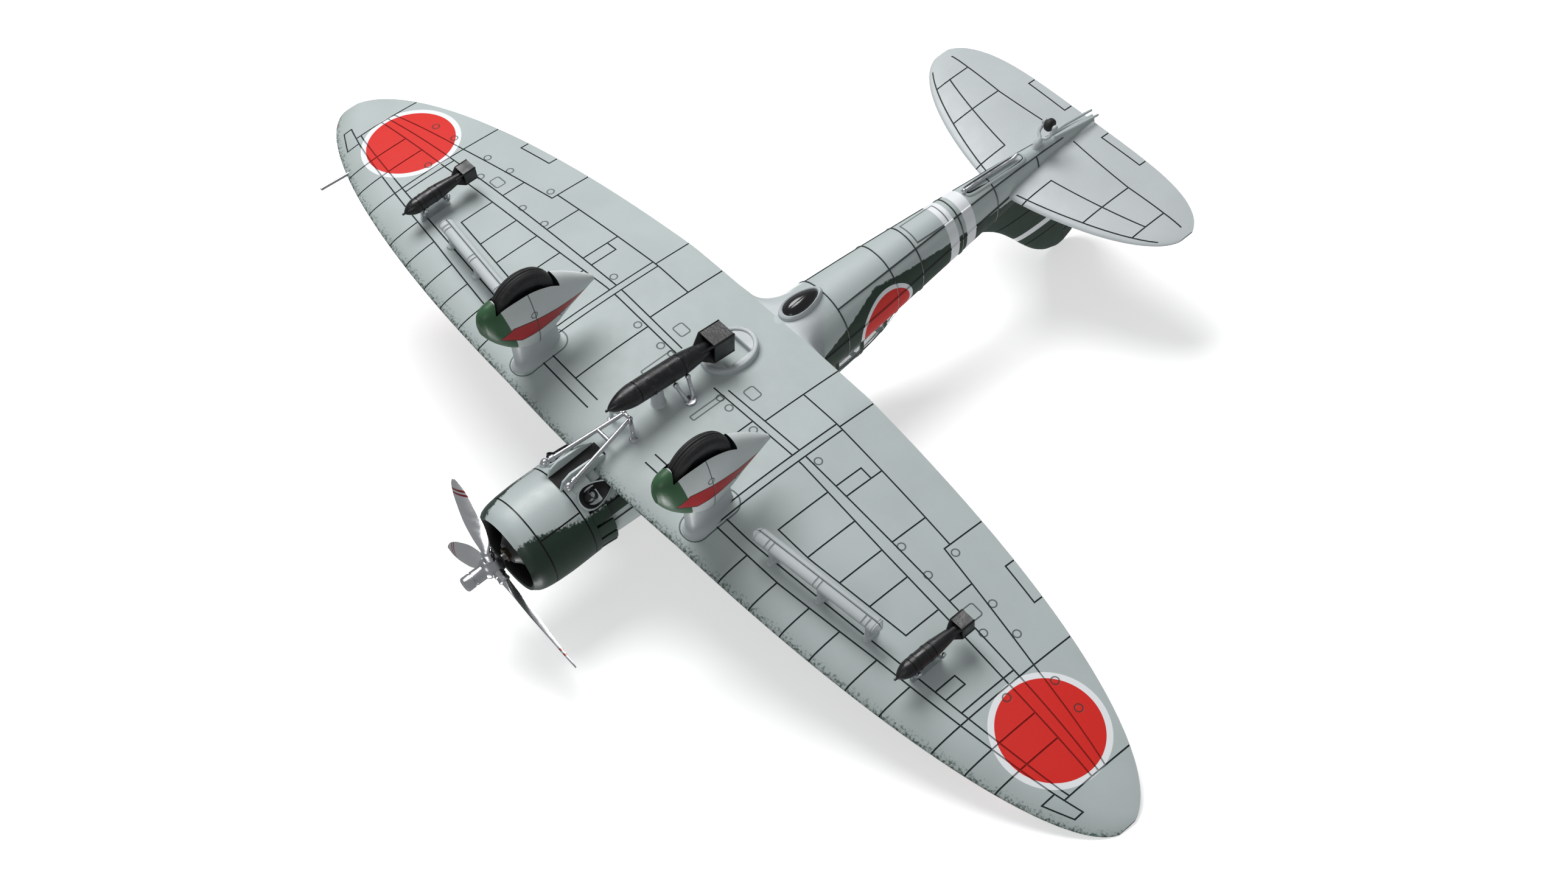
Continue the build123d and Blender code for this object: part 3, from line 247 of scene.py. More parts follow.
CIRCLES = [(51.5, -12.3), (61.5, -14.0), (45.5, -18.1), (51.7, -18.3), (64.2, -18.6), (67.5, -14.7),
           (14.7, -21.6),
           (8.7, -21.6), (6.2, -21.3), (76.7, -15.7), (82.1, -16.1), (26.0, -17.8), (74.1, -23.3)]
DISC_CENTER, DISC_RADIUS, DISC_RING = (81.9, -21.9), 8.35, 1.0


def rounded_box(finish, center, half, corner, line=0.11):
    """Mask of the outline of a rounded rectangle on the wing."""
    gaps = []
    for value, middle, size in ((finish.side, center[0], half[0]), (finish.y, center[1], half[1])):
        away = finish.math("ABSOLUTE", finish.math("SUBTRACT", value, middle))
        gaps.append(finish.math("MAXIMUM", finish.math("SUBTRACT", away, size - corner), 0.0))
    away = finish.math("SQRT", finish.math("ADD", *[finish.math("MULTIPLY", gap, gap) for gap in gaps]))
    return finish.below(finish.math("ABSOLUTE", finish.math("SUBTRACT", away, corner)), line, 0.05)


def leading_gap(finish):
    """How far a point lies behind the wing's leading edge."""
    share = finish.math("DIVIDE", finish.side, SEMI_SPAN + 0.25)
    reach_share = finish.math("SQRT", finish.math("MAXIMUM", finish.math("SUBTRACT", 1.0, finish.math(
        "POWER", share, LEADING_POWER)), 0.0))
    edge = finish.math("SUBTRACT", TIP_Y, finish.math("MULTIPLY", reach_share, LEADING_REACH))
    return finish.math("SUBTRACT", finish.y, edge)


def wing_grey(name, washed=False):
    """Light grey under the wing: oversprayed green and painted shade along the leading edge, red discs, small
    round covers.
    """
    finish = Finish(name, WASH if washed else GREY, 0.5 if not washed else 0.7, gloss=0.3)
    spray = finish.math("ADD", leading_gap(finish), finish.span(finish.noise(2.4, 6), 0.3, 0.7, 1.0, -1.0))
    if not washed:
        finish.darken(finish.span(spray, -0.9, 0.9, 0.9, 0.0), GREEN)
        # Painted shade, tinted green like the overspray: the grey darkens over the 6 mm behind the leading edge.
        finish.darken(finish.span(leading_gap(finish), 0.3, 6.0, 0.22, 0.0), (0.1, 0.15, 0.13))
    away = finish.distance(finish.side, finish.y, DISC_CENTER)
    finish.darken(finish.below(away, DISC_RADIUS + DISC_RING), (0.3, 0.33, 0.34) if washed else BAND_WHITE)
    finish.darken(finish.below(away, DISC_RADIUS), DARK_RED if washed else RED)
    if not washed:
        for center in CIRCLES:
            finish.engrave(finish.ring(center, 0.64), WASH)
        for center, half, corner in (((9.0, -16.9), (1.25, 1.0), 0.45), ((60.6, -17.4), (1.25, 1.0), 0.45),
                                     ((6.25, -24.2), (0.5, 3.2), 0.2), ((22.0, -36.9), (2.55, 5.4), 2.4)):
            finish.engrave(rounded_box(finish, center, half, corner), WASH)
    return finish.done()


def plain_paint(name, colour, roughness=0.45, **options):
    return Finish(name, colour, roughness, **options).done()


def silver(name, colour=(0.63, 0.64, 0.66), roughness=0.27):
    """Bright plated metal with fine drawn marks."""
    finish = Finish(name, colour, roughness, metallic=1.0, mottle=0.12, grain=0.09)
    finish.darken(finish.span(finish.noise(1.2, 6, (1, 0.2, 1)), 0.45, 0.7, 0.0, 0.25), (0.25, 0.25, 0.26))
    return finish.done(0.4)


def black_metal(name, roughness=0.42, worn=0.05):
    """Satin black with lighter dust and rubbed spots."""
    finish = Finish(name, BLACK, roughness, grain=0.12)
    finish.darken(finish.span(finish.noise(1.1, 5), 0.56, 0.75, 0.0, worn * 3), (0.07, 0.075, 0.08))
    return finish.done(1.0)


def upper_paint(name, washed=False):
    """Dark green of the upper surfaces, faded in soft clouds, with a red disc near each tip."""
    finish = Finish(name, (0.008, 0.02, 0.012) if washed else GREEN, 0.5, mottle=0.2)
    if not washed:
        finish.darken(finish.span(finish.noise(0.05, 5), 0.4, 0.75, 0.0, 0.3), (0.05, 0.1, 0.06))
    away = finish.distance(finish.side, finish.y, DISC_CENTER)
    finish.darken(finish.below(away, DISC_RADIUS + DISC_RING), (0.5, 0.52, 0.53) if washed else BAND_WHITE)
    finish.darken(finish.below(away, DISC_RADIUS), (0.3, 0.01, 0.01) if washed else RED)
    return finish.done()


def fuselage_paint(name, washed=False):
    """Green sides over a grey belly, white tail bands, a red disc on each flank and plain fin bands."""
    finish = Finish(name, (0.01, 0.02, 0.014) if washed else GREEN, 0.46, mottle=0.12)
    wander = finish.span(finish.noise(0.9, 4), 0.3, 0.7, -0.12, 0.12)
    astern = finish.math("MAXIMUM", finish.math("SUBTRACT", finish.y, 13.6), 0.0)
    ahead = finish.math("MAXIMUM", finish.math("SUBTRACT", 13.6, finish.y), 0.0)
    edge = finish.math("ADD", finish.math("MULTIPLY", astern, 0.2), finish.math("MULTIPLY", ahead, 0.3))
    above_keel = finish.math("ADD", finish.math("SUBTRACT", finish.z, edge), wander)
    belly = finish.every(finish.below(above_keel, -5.2, 0.12), finish.below(finish.z, 4.0))
    finish.darken(belly, WASH if washed else GREY)
    away = finish.distance(finish.y, finish.z, FLANK_DISC)
    flank = finish.every(finish.above(finish.side, 2.2), finish.below(finish.z, 7.0))
    finish.darken(finish.every(finish.below(away, FLANK_DISC_RADIUS + FLANK_DISC_RING), flank),
                  (0.4, 0.42, 0.43) if washed else BAND_WHITE)
    finish.darken(finish.every(finish.below(away, FLANK_DISC_RADIUS), flank), DARK_RED if washed else RED)
    for low, high in TAIL_BANDS:
        finish.darken(finish.every(finish.between(finish.y, low, high), finish.below(finish.z, 9.0)),
                      BAND_WHITE)
    tall = finish.above(finish.z, 7.6)
    rear = finish.every(finish.above(finish.y, 60.6), finish.above(finish.z, 11.5))
    finish.darken(finish.every(finish.between(finish.z, 17.4, 19.0), tall), BAND_WHITE)
    finish.darken(finish.every(rear, finish.between(finish.z, 12.0, 16.8), tall), RED)
    if not washed:
        hatch = finish.between(finish.x, -2.75, 1.95, 0.05)
        hatch = finish.every(hatch, finish.between(finish.y, 25.3, 32.9, 0.05))
        inner = finish.every(finish.between(finish.x, -2.5, 1.7, 0.05),
                             finish.between(finish.y, 25.55, 32.65, 0.05))
        low = finish.below(finish.z, -2.0)
        finish.engrave(finish.every(finish.math("SUBTRACT", hatch, inner, clamp=True), low),
                       (0.02, 0.03, 0.03))
    return finish.done()


def nose_paint(name, washed=False):
    """Cowl paint: grey underneath, dark green round the rest, with a soft sprayed edge between them."""
    finish = Finish(name, (0.004, 0.005, 0.005) if washed else GREEN, 0.4, mottle=0.12)
    spray = finish.span(finish.noise(2.2, 6), 0.25, 0.75, -0.5, 0.5)
    turn = finish.math("ARCTAN2", finish.z, finish.side)
    edge = finish.span(finish.y, -61.5, -48.5, -0.98, -0.66)
    under = finish.below(finish.math("SUBTRACT",
                                     finish.math("ADD", turn, finish.math("MULTIPLY", spray, 0.11)), edge),
                         0.0, 0.04)
    if not washed:
        finish.darken(under, GREY)
    return finish.done()


def spat_paint(name, washed=False):
    """Spat: grey with a green nose, a red dart edged in black, and two small round covers."""
    # The washed copy is the dark finish of the seam between the halves and, as painted shade, of the wheel
    # well's walls.
    finish = Finish(name, (0.03, 0.04, 0.04) if washed else (0.6, 0.64, 0.64), 0.38)
    y, z = finish.y, finish.z
    if not washed:
        edges = [((-25.0, -17.1), (-40.2, -18.0)), ((-40.2, -18.0), (-43.7, -20.8)),
                 ((-43.7, -20.8), (-41.3, -21.8)), ((-41.3, -21.8), (-25.0, -17.1))]
        gaps = [finish.slanted(y, z, *edge) for edge in edges]
        inside = gaps[0]
        for gap in gaps[1:]:
            inside = finish.math("MINIMUM", inside, gap)
        front = finish.slanted(y, z, (-40.6, -14.0), (-42.4, -26.5))
        finish.darken(finish.below(front, 0.0, 0.08), (0.03, 0.1, 0.04))
        finish.darken(finish.above(inside, -0.18, 0.05), (0.03, 0.015, 0.015))
        finish.darken(finish.above(inside, 0.0, 0.04), (0.42, 0.014, 0.018))
        for center in ((-37.2, -21.9), (-32.0, -17.4)):
            finish.engrave(finish.ring(center, 0.55, 0.1, y, z), (0.04, 0.04, 0.04))
        finish.engrave(finish.below(finish.math("ABSOLUTE", finish.math("ADD", y, 37.0)), 0.09, 0.05), WASH)
    return finish.done()


def blade_paint(name):
    """Bare blade with two thin dark red stripes near the tip."""
    finish = Finish(name, (0.68, 0.69, 0.71), 0.24, metallic=0.9, mottle=0.1, grain=0.08)
    away = finish.distance(finish.x, finish.z, (0.0, 0.0))
    for low, high in BLADE_STRIPES:
        finish.darken(finish.between(away, low, high), (0.3, 0.01, 0.012))
    return finish.done(0.4)


def clear_plastic(name, colour, alpha, roughness=0.06):
    """Clear moulded plastic with faint flow marks."""
    finish = Finish(name, colour, roughness, grain=0.02)
    finish.set("Alpha", alpha)
    finish.set("Coat Weight", 0.3)
    return finish.done(0.2)


def tyre_rubber(name):
    """Matt black rubber with dust in its grain."""
    finish = Finish(name, (0.012, 0.012, 0.013), 0.62, mottle=0.2)
    finish.darken(finish.span(finish.noise(1.6, 6), 0.5, 0.8, 0.0, 0.4), (0.05, 0.05, 0.05))
    return finish.done(1.4)


grey_wing, wash_wing = wing_grey("under_wing_grey"), wing_grey("under_wing_wash", True)
green_wing, wash_green = upper_paint("upper_wing_green"), upper_paint("upper_wing_wash", True)
fuselage_skin, fuselage_wash = fuselage_paint("fuselage_paint"), fuselage_paint("fuselage_wash", True)
nose_skin, nose_wash = nose_paint("nose_paint"), nose_paint("nose_wash", True)
# The spat's dark copy colours the seam between its halves and, as painted shade, the walls of the wheel wells.
spat_skin, dark_seam_and_shade = spat_paint("spat_paint"), spat_paint("spat_seam_and_painted_shade", True)
grey_part = plain_paint("grey_fittings", (0.5, 0.54, 0.55), 0.42)
grey_wash = plain_paint("grey_wash", WASH, 0.7)
silver_part, silver_blade = silver("bright_silver"), blade_paint("blade_silver")
steel_part = silver("steel_pin", (0.5, 0.5, 0.5), 0.35)
worn_brass = silver("oiled_bush", (0.06, 0.045, 0.025), 0.45)
black_part = black_metal("engine_black")
bomb_skin = black_metal("bomb_black", 0.36, 0.07)
gloss_black = clear_plastic("gloss_black_window", (0.004, 0.004, 0.005), 1.0, 0.16)
dark_pit = plain_paint("recess_black", (0.003, 0.003, 0.003), 0.8)
cabin_green = plain_paint("cabin_green", (0.09, 0.13, 0.06), 0.6)
glass = clear_plastic("canopy_clear", (0.55, 0.62, 0.62), 0.28)
red_lamp = clear_plastic("red_lamp", (0.5, 0.01, 0.012), 1.0, 0.12)
green_lamp = clear_plastic("green_lamp", (0.01, 0.13, 0.05), 1.0, 0.12)
rubber = tyre_rubber("tyre_rubber")


# ---- mesh making ----------------------------------------------------------------------------------
def piece(name, parts, body="airframe", replaced=(), sharp=35.0):
    """One finished piece. parts holds (points, faces, finishes, index of each face's finish), in millimetres."""
    points, faces, index, finishes, offset = [], [], [], [], 0
    for part_points, part_faces, part_finishes, part_index in parts:
        points.append(np.asarray(part_points, float).reshape(-1, 3))
        for finish in part_finishes:
            if finish not in finishes:
                finishes.append(finish)
        remap = [finishes.index(finish) for finish in part_finishes]
        faces += [[corner + offset for corner in face] for face in part_faces]
        index += [remap[i] for i in part_index]
        offset += len(points[-1])
    mesh = bpy.data.meshes.new(name)
    mesh.from_pydata(to_row(np.concatenate(points)).tolist(), [], faces)
    for finish in finishes:
        mesh.materials.append(finish)
    mesh.polygons.foreach_set("material_index", index)
    mesh.polygons.foreach_set("use_smooth", [True] * len(faces))
    mesh.update()
    mark_sharp(mesh, sharp)
    made = bpy.data.objects.new(name, mesh)
    bpy.context.scene.collection.objects.link(made)
    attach(made, body)
    if replaced:
        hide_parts(*replaced)
    return made


def mark_sharp(mesh, limit):
    """Keeps an edge crisp where its two faces turn by more than limit degrees."""
    count = len(mesh.loops)
    edge_of = np.empty(count, int)
    mesh.loops.foreach_get("edge_index", edge_of)
    normals = np.empty(len(mesh.polygons) * 3)
    mesh.polygons.foreach_get("normal", normals)
    normals = normals.reshape(-1, 3)
    sizes = np.empty(len(mesh.polygons), int)
    mesh.polygons.foreach_get("loop_total", sizes)
    face_of = np.repeat(np.arange(len(sizes)), sizes)
    order = np.argsort(edge_of, kind="stable")
    edges, faces = edge_of[order], face_of[order]
    pair = np.flatnonzero(edges[1:] == edges[:-1])
    turn = np.einsum("ij,ij->i", normals[faces[pair]], normals[faces[pair + 1]])
    crisp = np.zeros(len(mesh.edges), bool)
    crisp[edges[pair[turn < np.cos(np.radians(limit))]]] = True
    layer = mesh.attributes.new("sharp_edge", "BOOLEAN", "EDGE")
    layer.data.foreach_set("value", crisp)


def grid_faces(rows, columns, closed=False, flip=False):
    """Quads of a rows by columns grid of points, joined round the columns where closed."""
    faces = []
    last = columns if closed else columns - 1
    for i in range(rows - 1):
        for j in range(last):
            k = (j + 1) % columns
            face = [i * columns + j, i * columns + k, (i + 1) * columns + k, (i + 1) * columns + j]
            faces.append(face[::-1] if flip else face)
    return faces


def surface(grid, finish, closed=True, caps=True, flip=False):
    """A grid of points (rows, columns, 3) as a part, with its two end rows filled."""
    rows, columns = grid.shape[:2]
    faces = grid_faces(rows, columns, closed, flip)
    if caps:
        start = list(range(columns))
        end = [(rows - 1) * columns + j for j in range(columns)]
        faces += [start if flip else start[::-1], end[::-1] if flip else end]
    return grid.reshape(-1, 3), faces, [finish], [0] * len(faces)


def mirrored(part):
    """The same part on the other side of the model."""
    points, faces, finishes, index = part
    points = np.asarray(points, float).reshape(-1, 3) * (-1, 1, 1)
    return points, [face[::-1] for face in faces], finishes, index


def turned(profile, finish, start, end, sides=48, finishes=None):
    """A shape turned about the line from start to end. profile holds (radius, distance along the line)."""
    start, end = np.asarray(start, float), np.asarray(end, float)
    axis = (end - start) / np.linalg.norm(end - start)
    first = np.cross(axis, (1, 0, 0) if abs(axis[0]) < 0.9 else (0, 0, 1))
    first /= np.linalg.norm(first)
    second = np.cross(axis, first)
    angle = np.linspace(0, 2 * np.pi, sides, endpoint=False)
    ring = np.cos(angle)[:, None] * first + np.sin(angle)[:, None] * second
    profile = np.asarray(profile, float)
    grid = start + profile[:, 1, None, None] * axis + profile[:, 0, None, None] * ring
    part = surface(grid, finish)
    if finishes is not None:
        kinds, choice = finishes
        index = [i for i in choice for _ in range(sides)] + [choice[0], choice[-1]]
        part = part[0], part[1], kinds, index
    return part


def tube(path, radius, finish, sides=14):
    """A round rod that follows a path, with rounded ends."""
    path = np.asarray(path, float)
    run = np.gradient(path, axis=0)
    run /= np.linalg.norm(run, axis=1)[:, None]
    radius = np.broadcast_to(np.asarray(radius, float), len(path)).copy()
    caps = [(0.35, -0.94), (0.8, -0.6)]
    points = [path[0] + run[0] * radius[0] * drop for _, drop in caps] + list(path)
    points += [path[-1] - run[-1] * radius[-1] * drop for _, drop in caps[::-1]]
    sizes = [radius[0] * size for size, _ in caps] + list(radius) + [radius[-1] * size for size,
                                                                     _ in caps[::-1]]
    runs = [run[0]] * 2 + list(run) + [run[-1]] * 2
    angle = np.linspace(0, 2 * np.pi, sides, endpoint=False)
    grid = []
    first = np.cross(runs[0], (0.31, 0.2, 0.93))
    for point, size, direction in zip(points, sizes, runs):
        first = first - direction * np.dot(first, direction)
        first = first / np.linalg.norm(first)
        second = np.cross(direction, first)
        grid.append(point + size * (np.cos(angle)[:, None] * first + np.sin(angle)[:, None] * second))
    return surface(np.array(grid), finish)


def ball(center, radius, finish, stretch=(1, 1, 1)):
    """A round knob, its poles closed by small caps."""
    turn = np.linspace(0.12, np.pi - 0.12, 12)
    angle = np.linspace(0, 2 * np.pi, 20, endpoint=False)
    grid = np.stack([np.outer(np.sin(turn), np.cos(angle)), np.outer(np.sin(turn), np.sin(angle)),
                     np.outer(np.cos(turn), np.ones(20))], -1)
    return surface(np.asarray(center) + radius * grid * np.asarray(stretch), finish, flip=True)


def smooth_between(stations, at):
    """Values of the stations at given places, along a smooth curve that doesn't overshoot."""
    x, values = stations[:, 0], stations[:, 1:]
    step = np.diff(x)
    slope = np.diff(values, axis=0) / step[:, None]
    tangent = np.zeros_like(values)
    tangent[1:-1] = np.where(slope[1:] * slope[:-1] > 0,
                             2 * slope[1:] * slope[:-1] / (slope[1:] + slope[:-1] + 1e-12), 0)
    tangent[0], tangent[-1] = slope[0], slope[-1]
    at = np.clip(np.asarray(at, float), x[0], x[-1])
    k = np.clip(np.searchsorted(x, at, side="right") - 1, 0, len(x) - 2)
    t = ((at - x[k]) / step[k])[:, None]
    h = step[k][:, None]
    return ((1 + 2 * t) * (1 - t) ** 2 * values[k] + t * (1 - t) ** 2 * h * tangent[k]
            + t * t * (3 - 2 * t) * values[k + 1] + t * t * (t - 1) * h * tangent[k + 1])


def section(values, angle, roundness, center=0.0):
    """Points (x, z) of a rounded section with the given half width, top and bottom, at an angle from +X."""
    half, top, bottom = values[..., 0], values[..., 1], values[..., 2]
    across = np.sign(np.cos(angle)) * np.abs(np.cos(angle)) ** (2 / roundness)
    upward = np.sign(np.sin(angle)) * np.abs(np.sin(angle)) ** (2 / roundness)
    return center + half * across, (top + bottom) / 2 + (top - bottom) / 2 * upward


def spread(base, marks, half):
    """Base positions with four more round each mark, for the walls and floor of a groove there."""
    near = [mark + k * half for mark in marks for k in (-1, -0.5, 0.5, 1)]
    kept = [value for value in base if all(abs(value - mark) > 1.7 * half for mark in marks)]
    return np.array(sorted(kept + near))


def panelled(point, base, anchors, gaps, ribs, lines, half_u, half_v, outward=1, depth=LINE_DEPTH):
    """A surface with engraved panel lines.

    point(u, v) gives its points. Each anchor is a curve v(u) that rows of the grid follow, with gaps[k] rows
    between anchors k and k + 1. A rib (u, k0, k1) is a line across from anchor k0 to k1, and a line (k, u0, u1)
    runs along anchor k. Grooves are 2 * half wide and cut straight in. The faces in them are marked, for a
    darker finish.
    """
    line_ends = {u for line in lines for u in line[1:] if base[0] < u < base[-1]}
    marks = sorted({rib[0] for rib in ribs} | line_ends)
    us = spread(base, marks, half_u)
    rows, kinds = [], []
    half = np.broadcast_to(half_v(us), us.shape)
    for k, anchor in enumerate(anchors):
        middle = anchor(us)
        inner = 0 < k < len(anchors) - 1
        for offset in (-1, -0.5, 0.5, 1) if inner else (0,):
            rows.append(middle + offset * half)
            kinds.append(k if abs(offset) < 1 else -1)
        if k < len(anchors) - 1:
            low = middle + half * inner
            high = anchors[k + 1](us) - half * (k + 1 < len(anchors) - 1)
            for i in range(gaps[k]):
                share = (i + 1) / (gaps[k] + 1)
                rows.append(low + (high - low) * (share ** 1.8 if k == 0 else share))
                kinds.append(-1)
    kinds = np.array(kinds)
    v = np.stack(rows, 1)
    u = np.broadcast_to(us[:, None], v.shape)
    grid = point(u, v)
    sunk = np.zeros(v.shape, bool)
    order = np.arange(len(kinds))
    for at, k0, k1 in ribs:
        first, last = order[kinds == k0].min(), order[kinds == k1].max()
        sunk |= (np.abs(u - at) < 0.7 * half_u) & (order >= first) & (order <= last)
    for k, u0, u1 in lines:
        sunk |= (kinds == k) & (u > u0 - 0.7 * half_u) & (u < u1 + 0.7 * half_u)
    normal = np.cross(np.gradient(grid, axis=0), np.gradient(grid, axis=1))
    normal /= np.linalg.norm(normal, axis=-1, keepdims=True) + 1e-12
    grid = grid - outward * depth * normal * sunk[..., None]
    dark = sunk[:-1, :-1] | sunk[1:, :-1] | sunk[:-1, 1:] | sunk[1:, 1:]
    return grid, dark.astype(int)


def curve(*pairs):
    """A function through (x, value) pairs for both sides of the model."""
    places, values = zip(*pairs)
    return lambda x: np.interp(np.abs(x), places, values)


# ---- wing -----------------------------------------------------------------------------------------
def reach(x, span, power):
    """Share of its full reach that a rounded outline has at x: the root of 1 less (x / span) to the power."""
    return np.sqrt(np.clip(1 - (np.abs(x) / (span + 0.25)) ** power, 0, None))


def bulge(share):
    """Aerofoil fullness: root of the share times its rest, one at a third of the chord."""
    return np.sqrt(np.clip(share, 0, None)) * (1 - share) / (np.sqrt(1 / 3) * 2 / 3)


def leading(x):
    return TIP_Y - LEADING_REACH * reach(x, SEMI_SPAN, LEADING_POWER)


def trailing(x):
    return TIP_Y + TRAILING_REACH * reach(x, SEMI_SPAN, TRAILING_POWER)


def chord_height(x):
    return WING_Z + DIHEDRAL * np.clip(np.abs(x) - KINK_X, 0, None)


def wing_surface(side, depth):
    """Lower (side -1) or upper (side +1) skin at x and a share of the chord."""
    def point(x, share):
        front, back = leading(x), trailing(x)
        height = side * (depth * (back - front) * bulge(share) + EDGE / 2 * share)
        return np.stack([x, front + (back - front) * share, chord_height(x) + height], -1)
    return point


def half_chord(x):
    """Groove half width as a share of the chord."""
    return LINE_HALF / np.maximum(trailing(x) - leading(x), 6.0)


WING_ANCHORS = [
    curve((0, 0), (100, 0)),
    curve((0, 0.045), (86, 0.05), (89, 0.088), (94, 0.125), (98, 0.12)),
    curve((0, 0.155), (38, 0.155), (57, 0.19), (73, 0.207), (89, 0.225), (98, 0.25)),
    curve((0, 0.205), (30, 0.204), (57, 0.244), (72, 0.262), (90, 0.285), (98, 0.33)),
    curve((0, 0.32), (38, 0.318), (57, 0.363), (68, 0.386), (98, 0.42)),
    curve((0, 0.573), (25, 0.586), (45, 0.566), (71, 0.553), (98, 0.55)),
    curve((0, 0.605), (24, 0.622), (71, 0.626), (98, 0.63)),
    curve((0, 0.757), (36, 0.757), (49.5, 0.778), (74, 0.727), (98, 0.70)),
    curve((0, 0.812), (24, 0.818), (50, 0.81), (56, 0.85), (98, 0.85)),
    curve((0, 0.945), (98, 0.945)),
    curve((0, 1), (100, 1))]
WING_GAPS = [6, 2, 1, 2, 5, 1, 3, 1, 2, 1]
WING_RIBS = [(13.3, 3, 5), (14.6, 6, 10), (22.6, 2, 8), (24.0, 2, 8), (23.3, 8, 10), (31.1, 0, 2),
             (31.15, 4, 5),
             (37.6, 0, 2), (37.6, 4, 5), (44.2, 0, 2), (44.2, 4, 5), (44.0, 6, 8), (50.3, 0, 2), (50.3, 4, 5),
             (49.9, 7, 10), (57.1, 0, 2), (57.1, 4, 5), (57.0, 6, 7), (63.4, 0, 2), (66.5, 3, 4),
             (68.5, 3, 4),
             (71.5, 3, 6), (72.8, 0, 10), (78.5, 0, 5), (83.5, 0, 5), (91.3, 2, 10), (94.0, 1, 2),
             (58.0, 9, 10),
             (65.3, 9, 10), (31.15, 6, 7), (33.5, 6, 8), (89.4, 1, 2)]
WING_LINES = [(2, 7.5, 19.5), (2, 24.5, 94.0), (3, 7.5, 19.5), (3, 24.5, 91.0), (4, 31.1, 57.1),
              (4, 66.5, 68.5),
              (5, 4.0, 22.6), (5, 24.0, 91.3), (6, 6.0, 22.6), (6, 24.0, 91.3), (8, 14.6, 49.9),
              (7, 49.9, 91.3),
              (9, 58.0, 65.3), (7, 31.1, 33.5), (1, 89.4, 94.0)]


def merge(marks):
    """Rib stations closer than a groove's width taken as one place."""
    places = []
    for mark in sorted(marks):
        if not places or mark - places[-1] > 3 * LINE_HALF:
            places.append(mark)
    return places


def snapped(value, places):
    return min(places, key=lambda place: abs(place - value))


def both_ways(ribs, lines):
    """Ribs and lines of one half wing given to both halves."""
    places = merge({rib[0] for rib in ribs} | {u for line in lines for u in line[1:]})
    ribs = [(snapped(at, places), k0, k1) for at, k0, k1 in ribs]
    lines = [(k, snapped(u0, places), snapped(u1, places)) for k, u0, u1 in lines]
    return (ribs + [(-at, k0, k1) for at, k0, k1 in ribs],
            lines + [(k, -u1, -u0) for k, u0, u1 in lines])


def lidded(grid, dark, skins, flip):
    """A skin closed by flat strips from its front edge to its back edge."""
    rows, columns = grid.shape[:2]
    faces = grid_faces(rows, columns, flip=flip)
    index = dark.ravel().tolist()
    for i in range(rows - 1):
        near, far = i * columns, (i + 1) * columns
        strip = [near, far, far + columns - 1, near + columns - 1]
        faces.append(strip[::-1] if flip else strip)
        index.append(0)
    for end in (0, (rows - 1) * columns):
        cap = [end + j for j in range(columns)]
        faces.append(cap if (end == 0) == flip else cap[::-1])
        index.append(0)
    return grid.reshape(-1, 3), faces, skins, index


span_base = np.concatenate([np.linspace(-99.7, -96.0, 12), np.linspace(-95, 95, 96),
                            np.linspace(96.0, 99.7, 12)])
wing_ribs, wing_lines = both_ways(WING_RIBS, WING_LINES)
lower_grid, lower_dark = panelled(wing_surface(-1, LOWER_DEPTH), span_base, WING_ANCHORS, WING_GAPS,
                                  wing_ribs,
                                  wing_lines, LINE_HALF, half_chord, outward=-1)
lower_part = lidded(lower_grid, lower_dark, [grey_wing, wash_wing], True)


def hull_underside(values, share):
    """Height of the fuselage's lower skin, at a share of its half width: middle minus half height times
    (1 - share ^ power) ^ (1 / power)."""
    middle = (values[..., 1] + values[..., 2]) / 2
    return middle - (middle - values[..., 2]) * (1 - share ** HULL_POWER) ** (1 / HULL_POWER)


def root_fillet():
    """Web that carries the wing's trailing edge back and up into the fuselage side."""
    x = np.linspace(-14.0, 14.0, 57)
    e = np.linspace(0, 1, 15)
    across, along = np.meshgrid(x, e, indexing="ij")
    length = 0.05 + 13.0 * (np.clip(14 - np.abs(across), 0, None) / 14) ** 2.0
    length = np.minimum(length, 5.5 + 0.4 * (7 - np.minimum(np.abs(across), 7)))
    y = trailing(across) - 0.05 + along * length
    values = smooth_between(FUSELAGE, y.ravel()).reshape(*y.shape, 3)
    share = np.clip(np.abs(across) / (values[..., 0] + 0.02), 0, 1)
    skin = hull_underside(values, share)
    flat = chord_height(across) - EDGE / 2
    ease = along * along * (3 - 2 * along)
    out = np.clip((np.abs(across) - values[..., 0]) / (14 - values[..., 0]), 0, 1)
    target = skin + (flat - skin) * out ** 0.5
    z = flat + (target - flat) * ease
    under = np.stack([across, y, np.minimum(z, flat + 6.5)], -1)
    over = under + (0, 0, 0.28)
    rows, columns = under.shape[:2]
    faces = grid_faces(rows, columns, flip=True)
    count = rows * columns
    faces += [[corner + count for corner in face[::-1]] for face in faces]
    border = [(i, 0) for i in range(rows)] + [(rows - 1, j) for j in range(1, columns)]
    border += [(i, columns - 1) for i in range(rows - 2, -1, -1)] + [(0, j) for j in range(columns - 2, 0,
                                                                                           -1)]
    for (i, j), (p, q) in zip(border, border[1:] + border[:1]):
        a, b = i * columns + j, p * columns + q
        faces.append([b, a, a + count, b + count])
    return np.concatenate([under.reshape(-1, 3), over.reshape(-1, 3)]), faces, [grey_part], [0] * len(faces)


piece("wing_underside", [lower_part, root_fillet()], replaced=["wing_lower"])

